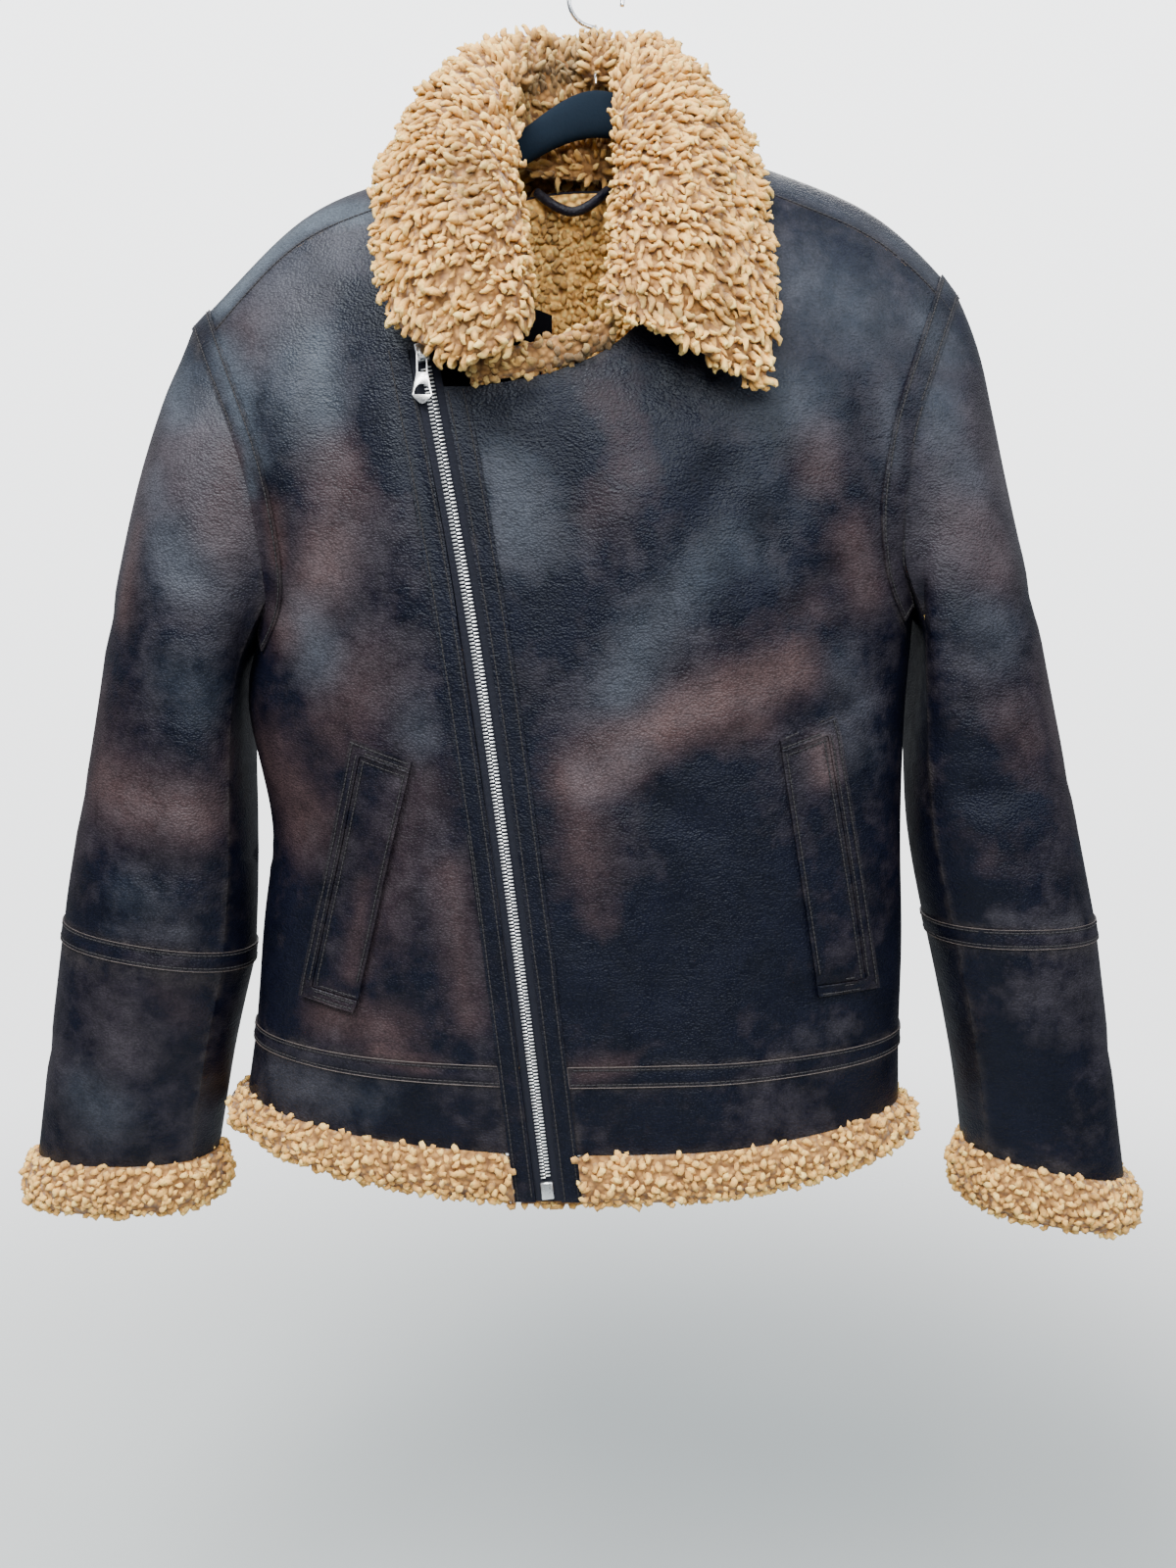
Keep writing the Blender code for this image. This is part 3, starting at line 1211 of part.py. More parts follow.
def build_slider():
    """The slider with the bridge that holds the pull. The bridge is joined by a Boolean."""
    slider = metal_block("zip_slider", SLIDER_WIDTH, SLIDER_LENGTH, SLIDER_PROUD, SLIDER_Z)
    roof = 2 * BRIDGE_ROOM
    top = roof + BRIDGE_THICK
    outside = [(BRIDGE_ROOT, BRIDGE_LONG), (-roof, BRIDGE_LONG), (-top, BRIDGE_TOP_LONG)]
    inside = [(BRIDGE_ROOT, -BRIDGE_CLEAR), (-roof, -BRIDGE_CLEAR)]
    outline = outside + [(y, -z) for y, z in reversed(outside)]
    outline += inside + [(y, -z) for y, z in reversed(inside)]
    bridge = prism("slider_bridge", outline, BRIDGE_HALF, "metal")
    bridge.matrix_world = zip_frame(SLIDER_Z) @ Matrix.Translation((0, -SLIDER_PROUD, PULL_DROP))
    bridge.hide_render = True
    bridge.display_type = "WIRE"
    bpy.data.collections["coat"].objects.unlink(bridge)
    bpy.data.collections["cutters"].objects.link(bridge)
    join = slider.modifiers.new("bridge", "BOOLEAN")
    join.operation = "UNION"
    join.object = bridge


def pull_place():
    """Where the pull turns, which is the middle of its bar."""
    return zip_frame(SLIDER_Z) @ Vector((0, -SLIDER_PROUD - BRIDGE_ROOM, PULL_DROP))


def pull_lean(axis):
    """The pull rests on the chain, which leans out from the vertical."""
    tip_z = axis.z - PULL_LENGTH
    chain_y = body_point(turn_at(axis.x, tip_z), tip_z)[1] - CHAIN_PROUD
    return math.atan2(axis.y - chain_y + PULL_THICK, PULL_LENGTH)


def build_pull():
    """The flat pull: its bar lies under the bridge, and the bridge stands in its slot."""
    curve = bpy.data.curves.new("zip_pull", "CURVE")
    curve.dimensions = "2D"
    curve.fill_mode = "BOTH"
    curve.extrude = PULL_THICK / 2
    for half in (PULL_HALF, SLOT_HALF, HOLE_HALF):
        loop = list(half) + [(-x, z) for x, z in reversed(half) if x]
        line = curve.splines.new("POLY")
        line.points.add(len(loop) - 1)
        line.use_cyclic_u = True
        for point, (x, z) in zip(line.points, loop):
            point.co = (x, z, 0, 1)
    guide = bpy.data.objects.new("zip_pull_outline", curve)
    bpy.context.scene.collection.objects.link(guide)
    guide.rotation_euler = (math.radians(90), 0, 0)
    bpy.context.view_layer.update()
    mesh = bpy.data.meshes.new_from_object(guide.evaluated_get(bpy.context.evaluated_depsgraph_get()))
    turned = guide.matrix_world.copy()
    bpy.data.objects.remove(guide)
    bm = bmesh.new()
    bm.from_mesh(mesh)
    bm.transform(turned)
    bmesh.ops.remove_doubles(bm, verts=bm.verts, dist=0.00001)
    pull = mesh_object("zip_pull", bm, "metal", smooth=False)
    pull.location = pull_place()
    pull.rotation_euler = (-pull_lean(pull.location), 0, 0)


def main():
    for obj in list(bpy.data.objects):
        bpy.data.objects.remove(obj)
    for name in ("coat", "cutters"):
        bpy.context.scene.collection.children.link(bpy.data.collections.new(name))
    build_body()
    build_zip_middle()
    build_fur_backing()
    for side in ("right", "left"):
        build_welt(side)
    build_collar()
    build_hanger()
    build_hook()
    build_loop()
    build_slider()
    build_pull()
    metal_block("zip_box", BOX_WIDTH, BOX_LENGTH, BOX_PROUD, BOX_Z)


main()
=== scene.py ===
import math

import bmesh
import bpy
import numpy as np
from mathutils import Euler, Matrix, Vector, kdtree
from mathutils.bvhtree import BVHTree


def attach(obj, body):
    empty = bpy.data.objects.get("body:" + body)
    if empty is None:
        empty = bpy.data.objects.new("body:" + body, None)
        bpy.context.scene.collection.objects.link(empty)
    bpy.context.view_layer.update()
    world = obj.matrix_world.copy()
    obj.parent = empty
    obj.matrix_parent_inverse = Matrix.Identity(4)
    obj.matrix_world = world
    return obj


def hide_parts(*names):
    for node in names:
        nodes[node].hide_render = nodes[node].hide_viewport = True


# A worn faux shearling coat on a hanger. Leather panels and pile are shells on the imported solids.
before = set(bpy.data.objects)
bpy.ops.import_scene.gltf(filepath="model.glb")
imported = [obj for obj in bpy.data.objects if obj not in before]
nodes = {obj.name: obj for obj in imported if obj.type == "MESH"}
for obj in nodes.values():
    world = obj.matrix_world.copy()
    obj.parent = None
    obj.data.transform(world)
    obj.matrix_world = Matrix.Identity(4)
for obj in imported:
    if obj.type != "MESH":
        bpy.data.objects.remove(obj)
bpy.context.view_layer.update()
bpy.ops.object.select_all(action="DESELECT")

# camera at the photograph's place; pixels are of the 1200 x 1600 frame
view = {"place": (-0.0053, -1.0, -0.4167), "tilt": 82.0, "lens": 31.48, "focal": 1399.0, "scale": 1480}
sideScale = 1000
soften = 1.35  # how far strokes reach past their radius
pullClear = 0.0165
openness = {"start": 0.0090, "far": 0.07, "collar": 0.15, "other": 0.30}
smoothAngle = math.radians(38)
bpy.ops.object.camera_add(location=view["place"], rotation=(math.radians(view["tilt"]), 0, 0))
camera = bpy.context.object
camera.data.lens = view["lens"]
camera.data.sensor_width = 36
bpy.context.scene.camera = camera
print("camera is in place")


def pick(piece):
    bpy.ops.object.select_all(action="DESELECT")
    piece.select_set(True)
    bpy.context.view_layer.objects.active = piece


def newPiece(name, data):
    made = bpy.data.objects.new(name, data)
    bpy.context.scene.collection.objects.link(made)
    return made


def treeOf(names):
    points = []
    faces = []
    for name in names:
        mesh = nodes[name].data
        start = len(points)
        points += [v.co.copy() for v in mesh.vertices]
        faces += [[start + i for i in f.vertices] for f in mesh.polygons]
    return BVHTree.FromPolygons(points, faces)


coatTree = treeOf([name for name in nodes if not name.startswith("hanger")])
allTree = treeOf(list(nodes))


def throughPixel(a, b):
    # the way from the camera through a pixel
    turn = Euler((math.radians(view["tilt"]), 0, 0)).to_matrix()
    return turn @ Vector(((a - 600) / view["focal"], (800 - b) / view["focal"], -1))


def coatPlace(face, a, b):
    # a place on the coat: by pixel on the front, else by its height and its place across
    if face == "front":
        heading = throughPixel(a, b)
        start = Vector(view["place"])
    elif face == "back":
        start = Vector((a, 1, b))
        heading = Vector((0, -1, 0))
    elif face == "right":
        start = Vector((-1, a, b))
        heading = Vector((1, 0, 0))
    else:
        start = Vector((1, a, b))
        heading = Vector((-1, 0, 0))
    hit = coatTree.ray_cast(start, heading.normalized())[0]
    if hit is None:
        hit = coatTree.find_nearest(start + heading * (abs(start.y + start.x) - 0.03))[0]
    return np.array(hit)


def smoothLine(points, steps=6):
    points = [np.array(p, float) for p in points]
    ends = [points[0] * 2 - points[1]] + points + [points[-1] * 2 - points[-2]]
    line = []
    for k in range(len(points) - 1):
        a, b, c, d = ends[k:k + 4]
        for t in np.arange(steps) / steps:
            line.append(0.5 * (2 * b + (c - a) * t + (2 * a - 5 * b + 4 * c - d) * t * t
                               + (3 * b - 3 * c + d - a) * t ** 3))
    line.append(points[-1])
    return np.array(line)


def nearestOnLine(points, line):
    lengths = np.linalg.norm(np.diff(line, axis=0), axis=1)
    run = np.concatenate([[0], np.cumsum(lengths)])
    best = np.full(len(points), 1e9)
    place = np.zeros((len(points), 3))
    share = np.zeros(len(points))
    for k in range(len(line) - 1):
        way = line[k + 1] - line[k]
        t = np.clip(((points - line[k]) @ way) / max(way @ way, 1e-12), 0, 1)
        near = line[k] + t[:, None] * way
        far = np.linalg.norm(points - near, axis=1)
        closer = far < best
        best[closer] = far[closer]
        place[closer] = near[closer]
        share[closer] = (run[k] + t[closer] * lengths[k]) / run[-1]
    return place, best, share


# middle lines of the sleeves, as x and z
sleeveLines = {
    "right": [(-0.2800, -0.378), (-0.2940, -0.446), (-0.3036, -0.528), (-0.3120, -0.591), (-0.3250, -0.679),
              (-0.3397, -0.748), (-0.3475, -0.792), (-0.3550, -0.836), (-0.3595, -0.877)],
    "left": [(0.2525, -0.349), (0.2660, -0.440), (0.2847, -0.554), (0.2980, -0.617), (0.3095, -0.668),
             (0.3192, -0.715), (0.3320, -0.783), (0.3413, -0.841), (0.3455, -0.888)],
}
bodyHeart = {"across": 0.75, "top": -0.33}


def awayFromInside(name, points):
    # unit directions out of the sleeve or the body at these points
    if name.startswith(("sleeve", "forearm", "cuff")):
        side = "right" if "right" in name else "left"
        line = np.array([(x, 0, z) for x, z in sleeveLines[side]])
        inside = nearestOnLine(points, line)[0]
    else:
        inside = np.zeros_like(points)
        inside[:, 0] = points[:, 0] * bodyHeart["across"]
        inside[:, 2] = np.minimum(points[:, 2], bodyHeart["top"])
    away = points - inside
    return away / np.maximum(np.linalg.norm(away, axis=1), 1e-6)[:, None]


def linePlaces(face, flat):
    return smoothLine([coatPlace(face, a, b) for a, b in zip(flat[::2], flat[1::2])])


# the creases, listed for each face: half width and depth in mm (a trough is negative), then the line
creases = {
    "front": [
        (8, -2.2, 418, 392, 428, 470, 446, 560, 462, 640),
        (10, 1.2, 392, 400, 398, 480, 412, 580, 424, 690),
        (12, -2, 318, 300, 330, 360, 344, 430, 352, 500),
        (9, -1.8, 266, 708, 292, 690, 322, 660, 344, 622), (7, -1.2, 272, 742, 304, 735, 340, 712),
        (7, -1.2, 284, 838, 310, 826, 334, 800), (9, 1.2, 300, 600, 316, 560, 322, 505),
        (11, -1.4, 436, 800, 462, 860, 472, 950, 470, 1030), (9, 1.2, 430, 700, 446, 760, 452, 830),
        (8, -1.2, 300, 1020, 340, 1012, 392, 1030, 440, 1052),
        (13, 2.2, 730, 420, 690, 470, 640, 520, 600, 590, 580, 650),
        (12, -2.6, 770, 440, 722, 520, 680, 600, 640, 680),
        (11, -2, 842, 430, 820, 500, 776, 560, 724, 604),
        (9, -1.6, 884, 560, 846, 600, 800, 640, 748, 668),
        (11, 1.8, 900, 640, 850, 680, 790, 715, 716, 740, 640, 760),
        (8, -1.4, 904, 690, 862, 724, 806, 748), (8, -2.2, 880, 372, 884, 420, 892, 480, 900, 550),
        (9, 1.6, 862, 352, 858, 410, 866, 470), (13, -1.4, 560, 420, 580, 480, 590, 560),
        (12, -2, 610, 800, 640, 812, 690, 830, 742, 868),
        (12, 1.4, 640, 690, 610, 760, 590, 830, 584, 900), (12, -1.4, 700, 900, 690, 970, 700, 1040),
        (8, -1.2, 800, 1020, 850, 1010, 898, 1016), (12, 1.2, 540, 960, 600, 1000, 640, 1050),
        (9, -1.4, 620, 400, 660, 392, 700, 402, 742, 432), (4.5, -3, 246, 874, 262, 870, 278, 876),
        (10, -1.4, 190, 330, 178, 380, 182, 440, 200, 500), (11, -2, 160, 560, 196, 590, 240, 600),
        (10, 1.6, 142, 640, 180, 664, 236, 668), (9, -2, 132, 704, 176, 724, 232, 716),
        (12, 1.8, 108, 812, 150, 838, 206, 846), (10, -1.8, 100, 880, 146, 892, 214, 886),
        (11, -1.4, 86, 1020, 130, 1040, 186, 1032), (9, -1.2, 70, 1120, 112, 1110, 168, 1130),
        (10, -1.8, 952, 420, 948, 500, 960, 580), (10, 1.4, 990, 560, 1020, 590, 1048, 580),
        (10, -2, 944, 640, 984, 668, 1040, 660), (11, 1.8, 950, 720, 1000, 744, 1060, 730),
        (10, -2, 956, 800, 1004, 812, 1072, 790), (9, -1.4, 972, 880, 1020, 872, 1084, 884),
        (10, -1.4, 990, 1030, 1040, 1016, 1100, 1030), (9, -1.2, 1000, 1110, 1048, 1124, 1118, 1100),
        (7, -4, 624, 298, 670, 312, 730, 322, 790, 336), (4, -2, 728, 190, 734, 240, 738, 290),
        (11, -6, 468, 160, 482, 186, 490, 214), (8, -3, 400, 300, 440, 306, 500, 322, 536, 336),
    ],
    "back": [
        (12, -2.6, -0.19, -0.24, -0.2, -0.32, -0.17, -0.42),
        (12, -2.6, 0.17, -0.23, 0.18, -0.31, 0.15, -0.41),
        (15, -2.2, -0.1, -0.28, -0.05, -0.38, -0.02, -0.5),
        (14, -2.2, 0.12, -0.3, 0.07, -0.42, 0.05, -0.55),
        (12, 2, -0.18, -0.46, -0.1, -0.52, -0.01, -0.54), (12, 2, 0.18, -0.45, 0.12, -0.53, 0.04, -0.6),
        (12, -2.4, -0.21, -0.53, -0.14, -0.6, -0.08, -0.69),
        (11, -2.2, 0.19, -0.55, 0.15, -0.62, 0.13, -0.71), (12, -1.8, 0.01, -0.6, 0, -0.66, 0.01, -0.73),
        (10, 1.4, -0.22, -0.66, -0.17, -0.68, -0.12, -0.73),
        (11, -2.2, -0.36, -0.5, -0.31, -0.53, -0.27, -0.52),
        (10, -1.8, -0.37, -0.58, -0.32, -0.6, -0.27, -0.58),
        (10, -1.8, -0.4, -0.74, -0.35, -0.76, -0.29, -0.74),
        (11, -2.2, 0.33, -0.48, 0.28, -0.51, 0.245, -0.5),
        (10, -1.8, 0.35, -0.57, 0.3, -0.6, 0.25, -0.58),
        (10, -1.8, 0.38, -0.73, 0.33, -0.75, 0.27, -0.73),
    ],
    "right": [
        (11, -2, -0.04, -0.42, 0, -0.45, 0.035, -0.43),
        (10, -1.8, -0.03, -0.56, 0.01, -0.58, 0.04, -0.56),
        (9, -1.6, -0.03, -0.74, 0, -0.76, 0.03, -0.74),
    ],
    "left": [
        (11, -2, -0.04, -0.4, 0, -0.44, 0.035, -0.42), (10, -1.8, -0.03, -0.54, 0.01, -0.57, 0.04, -0.55),
        (9, -1.6, -0.03, -0.74, 0, -0.77, 0.03, -0.75),
    ],
}
creaseLines = [(linePlaces(face, line), width / 1000, depth / 1000)
               for face, rows in creases.items() for width, depth, *line in rows]


def creaseHeight(points):
    # a soft trough or ridge with low shoulders, fading out at both ends
    height = np.zeros(len(points))
    for line, width, depth in creaseLines:
        _, far, share = nearestOnLine(points, line)
        q = far / width
        fade = np.sin(np.clip(share, 0.03, 0.97) * math.pi) ** 0.7
        height += depth * fade * (1 - 0.55 * q * q) * np.exp(-0.5 * q * q)
    return height


# rubbed strokes and painted sheen: radius in pixels or mm, how brown (rubbed tone), how blue-grey (painted
# sheen, lighter where light falls), then the line
patches = {
    "front": [
        (40, 0.1, 0.54, 290, 300, 306, 400), (20, 0, 0.7, 322, 345, 332, 415),
        (32, 0.45, 0.25, 258, 340, 286, 312), (26, 0.45, 0, 344, 470, 350, 505),
        (22, 0.8, 0.15, 338, 556, 322, 600, 298, 640), (24, 0.2, 0.55, 312, 630, 322, 668),
        (18, 0.1, 0.28, 862, 680, 876, 722), (32, 0.38, 0, 366, 690, 344, 742),
        (36, 0.58, 0, 278, 776, 306, 830), (14, 0.1, 0.35, 424, 736, 432, 758),
        (26, 0.22, 0, 432, 800, 404, 876, 384, 956), (20, 0.5, 0, 330, 1032, 404, 1052),
        (10, 0.6, 0, 380, 1070, 430, 1086), (24, 0.12, 0.3, 286, 1100, 380, 1124),
        (16, 0.1, 0.2, 540, 402, 572, 410), (22, 0.36, 0, 606, 410, 632, 436, 652, 474),
        (30, 0.18, 0.62, 520, 478, 534, 546), (22, 0.22, 0, 624, 482, 606, 520),
        (22, 0.08, 0.5, 752, 556, 704, 600, 660, 642, 636, 706), (34, 0.06, 0.46, 770, 392, 812, 416),
        (24, 0.05, 0.22, 760, 486, 800, 506), (20, 0.5, 0, 832, 452, 836, 478),
        (18, 0.45, 0, 868, 545, 884, 604), (20, 0.05, 0.18, 770, 590, 800, 600),
        (22, 0.28, 0, 770, 644, 826, 622), (22, 0.88, 0, 808, 680, 722, 718, 648, 756, 590, 798),
        (18, 1, 0.35, 646, 772, 604, 796), (22, 0.46, 0, 590, 826, 598, 896, 612, 940),
        (18, 0.5, 0, 700, 742, 768, 734), (24, 0.05, 0.2, 852, 742, 878, 770),
        (30, 0.06, 0, 700, 1012, 730, 1016), (10, 0.45, 0, 596, 1095, 640, 1085),
        (12, 0.15, 0.2, 820, 1056, 870, 1050), (26, 0, 0.62, 178, 392, 184, 418),
        (24, 0.05, 0.72, 232, 366, 244, 402), (34, 0.38, 0.25, 184, 452, 192, 484),
        (24, 0.48, 0.15, 236, 474, 224, 544), (24, 0, 0.34, 154, 490, 160, 508),
        (14, 0.5, 0, 138, 540, 124, 626), (26, 0.1, 0.5, 168, 548, 184, 580),
        (26, 0, 0.28, 182, 690, 204, 716), (28, 0.62, 0.05, 104, 796, 148, 820, 204, 832),
        (22, 0, 0.22, 130, 912, 150, 924), (30, 0.28, 0.22, 112, 1016, 128, 1060),
        (26, 0, 0.34, 84, 1118, 104, 1136), (24, 0.18, 0, 164, 1012, 180, 1030),
        (18, 0, 0.36, 958, 404, 964, 438), (22, 0.1, 0.5, 944, 330, 958, 350),
        (22, 0, 0.26, 990, 474, 996, 490), (28, 0.46, 0.12, 994, 536, 1018, 572),
        (26, 0, 0.3, 1004, 630, 1020, 652), (28, 0.32, 0, 1036, 736, 1050, 764),
        (26, 0.2, 0, 994, 850, 1006, 872), (26, 0.08, 0.1, 1056, 1024, 1070, 1056),
        (12, 0.1, 0.85, 224, 350, 240, 410, 262, 470), (10, 0.55, 0, 276, 520, 284, 570),
        (7, 0.1, 0.85, 252, 396, 257, 500), (15, 0, 1.4, 230, 308, 290, 246, 348, 216, 390, 200),
        (14, 0.05, 0.34, 788, 184, 850, 212, 920, 250, 962, 290), (42, 0.08, 0.42, 830, 290, 872, 316),
        (30, 0.2, 0.4, 340, 262, 372, 240), (13, 1.3, 0.2, 838, 764, 842, 786),
        (8, 0.18, 0.34, 110, 948, 190, 952), (8, 0.36, 0.44, 1016, 936, 1100, 944),
        (9, 0.6, 0, 372, 905, 358, 994), (14, 0.42, 0, 458, 890, 478, 1040),
        (8, 0.05, 0.3, 905, 398, 912, 470),
    ],
    "back": [
        (50, 0.4, 0.2, -0.17, -0.27, -0.12, -0.33), (50, 0.12, 0.42, 0.01, -0.22, 0.1, -0.28),
        (46, 0.48, 0, 0.18, -0.3, 0.13, -0.39), (50, 0.52, 0, -0.09, -0.38, -0.01, -0.46),
        (50, 0.06, 0.42, 0.13, -0.46, 0.06, -0.55), (40, 0.06, 0.36, -0.19, -0.49, -0.14, -0.56),
        (52, 0.44, 0, -0.04, -0.56, 0.05, -0.64), (44, 0.46, 0, 0.18, -0.6, 0.15, -0.69),
        (44, 0.46, 0, -0.16, -0.65, -0.09, -0.72), (36, 0.46, 0, -0.32, -0.43, -0.35, -0.5),
        (36, 0.06, 0.36, -0.34, -0.58, -0.36, -0.64), (36, 0.44, 0, -0.33, -0.74, -0.37, -0.78),
        (36, 0.46, 0, 0.27, -0.39, 0.31, -0.46), (36, 0.06, 0.36, 0.3, -0.56, 0.33, -0.62),
        (36, 0.44, 0, 0.31, -0.74, 0.35, -0.79),
    ],
    "right": [
        (36, 0.36, 0.22, -0.02, -0.34, 0.02, -0.38), (36, 0.42, 0.06, -0.01, -0.51, 0.01, -0.58),
        (36, 0.22, 0.24, 0, -0.71, 0.01, -0.77),
    ],
    "left": [
        (36, 0.36, 0.22, -0.02, -0.32, 0.02, -0.36), (36, 0.42, 0.06, -0.01, -0.49, 0.01, -0.56),
        (36, 0.22, 0.24, 0, -0.71, 0.01, -0.77),
    ],
}


def strokes(table, leading):
    made = []
    for face, rows in table.items():
        scale = view["scale"] if face == "front" else sideScale
        made += [(linePlaces(face, row[leading:]), row[0] / scale, *row[1:leading]) for row in rows]
    return made


patchLines = strokes(patches, 3)

# where the rubbed tone and the painted sheen are held back, so the leather is darker: radius, how much tone
# is held back, then the line
darkened = {
    "front": [
        (30, 0.42, 540, 425, 584, 442), (46, 0.34, 620, 960, 704, 1000), (38, 0.22, 716, 826, 762, 892),
        (28, 0.24, 676, 462, 724, 502), (28, 0.26, 738, 584, 762, 616), (20, 0.3, 392, 430, 404, 474),
        (14, 0.4, 928, 660, 944, 744), (10, 0.3, 660, 1088, 760, 1078), (5, 0.3, 494, 500, 500, 620),
        (22, 0.15, 1012, 780, 1004, 830),
    ],
}
darkLines = strokes(darkened, 2)

# painted shade on the pile, where it lies in shadow and where it parts along a seam: radius, how dark, then
# the line
pileShadeStrokes = {
    "front": [
        (30, 0.92, 548, 84, 566, 74, 598, 66), (14, 0.7, 530, 96, 538, 128),
        (28, 0.6, 474, 172, 484, 192), (5, 0.6, 735, 165, 738, 250, 741, 332),
        (7, 0.65, 632, 298, 690, 320, 782, 350), (19, 0.95, 556, 358, 584, 366, 622, 354),
        (14, 0.55, 480, 384, 524, 386), (6, 0.45, 404, 326, 470, 336, 530, 330),
        (16, 0.45, 545, 150, 560, 200, 562, 300), (14, 0.45, 580, 215, 610, 225),
    ],
}
pileShadeLines = strokes(pileShadeStrokes, 2)


def shadowOf(points):
    dark = np.zeros(len(points))
    for line, radius, depth in pileShadeLines:
        near = np.abs(points - line.mean(0)).max(1) < 0.12
        far = nearestOnLine(points[near], line)[1]
        dark[near] = np.maximum(dark[near], depth * np.exp(-(far / radius) ** 2))
    return dark


# brown is the rubbed tone, the blue-grey is painted sheen; the held strokes take both back
def patchTones(points):
    brown = np.zeros(len(points))
    paintedSheen = np.zeros(len(points))
    for line, radius, brownness, paintedSheenAmount in patchLines:
        share = np.exp(-(nearestOnLine(points, line)[1] / (radius * soften)) ** 2)
        brown = np.maximum(brown, share * brownness)
        paintedSheen = np.maximum(paintedSheen, share * paintedSheenAmount)
    held = np.zeros(len(points))
    for line, radius, depth in darkLines:
        held = np.maximum(held, depth * np.exp(-(nearestOnLine(points, line)[1] / (radius * soften)) ** 2))
    return brown - held, paintedSheen - held


def keep(mesh, name, values, kind="FLOAT"):
    made = mesh.attributes.new(name, kind, "POINT")
    made.data.foreach_set("value" if kind == "FLOAT" else "vector", np.asarray(values, float).ravel())


def startMaterial(name, **settings):
    material = bpy.data.materials.new(name)
    material.use_nodes = True
    shader = material.node_tree.nodes["Principled BSDF"]
    for key, value in settings.items():
        shader.inputs[key.replace("_", " ")].default_value = value
    return material, material.node_tree, shader


def add(tree, kind, inputs=None, **settings):
    made = tree.nodes.new(kind)
    for key, value in settings.items():
        setattr(made, key, value)
    for key, value in (inputs or {}).items():
        if isinstance(value, bpy.types.NodeSocket):
            tree.links.new(value, made.inputs[key])
        else:
            made.inputs[key].default_value = value
    return made


def everyway(tree):
    return stretched(tree, (1, 1, 1))


def stretched(tree, scale):
    place = add(tree, "ShaderNodeTexCoord")
    return add(tree, "ShaderNodeMapping", {"Vector": place.outputs["Object"], "Scale": scale}).outputs[0]


def noise(tree, place, scale, detail=3.0, rough=0.5):
    made = add(tree, "ShaderNodeTexNoise",
               {"Vector": place, "Scale": scale, "Detail": detail, "Roughness": rough})
    return made.outputs["Fac"]


def grey(level):
    return (level, level, level, 1)


def ramp(tree, value, stops):
    made = add(tree, "ShaderNodeValToRGB", {"Fac": value})
    made.color_ramp.elements[0].position = stops[0][0]
    made.color_ramp.elements[0].color = stops[0][1]
    made.color_ramp.elements[1].position = stops[-1][0]
    made.color_ramp.elements[1].color = stops[-1][1]
    for position, colour in stops[1:-1]:
        made.color_ramp.elements.new(position).color = colour
    return made.outputs["Color"]


def mixed(tree, share, first, second, blend="MIX"):
    return add(tree, "ShaderNodeMix", {"Factor": share, 6: first, 7: second}, data_type="RGBA",
               blend_type=blend).outputs[2]


def sums(tree, operation, *values):
    return add(tree, "ShaderNodeMath", dict(enumerate(values)), operation=operation).outputs[0]


def vectors(tree, operation, first, second):
    inputs = {0: first, "Scale" if operation == "SCALE" else 1: second}
    return add(tree, "ShaderNodeVectorMath", inputs, operation=operation).outputs[0]


def mark(tree, name):
    return add(tree, "ShaderNodeAttribute", attribute_name=name).outputs["Fac"]


def bumped(tree, height, strength, distance, under=None):
    made = add(tree, "ShaderNodeBump", {"Height": height, "Strength": strength, "Distance": distance})
    if under is not None:
        tree.links.new(under, made.inputs["Normal"])
    return made.outputs[0]


leatherLook = {
    "dark": (0.0038, 0.0047, 0.0130, 1),
    "brown": (0.1050, 0.0630, 0.0600, 1),
    # a blue-grey for painted sheen where light falls on the leather
    "paintedSheen": (0.0690, 0.0870, 0.1120, 1),
    # a lighter brown for the edges: rubbed leather, partly painted highlight
    "rubAndHighlight": (0.0500, 0.0430, 0.0420, 1),
    "grain": 560.0,
    "wrinkle": 130.0,
}


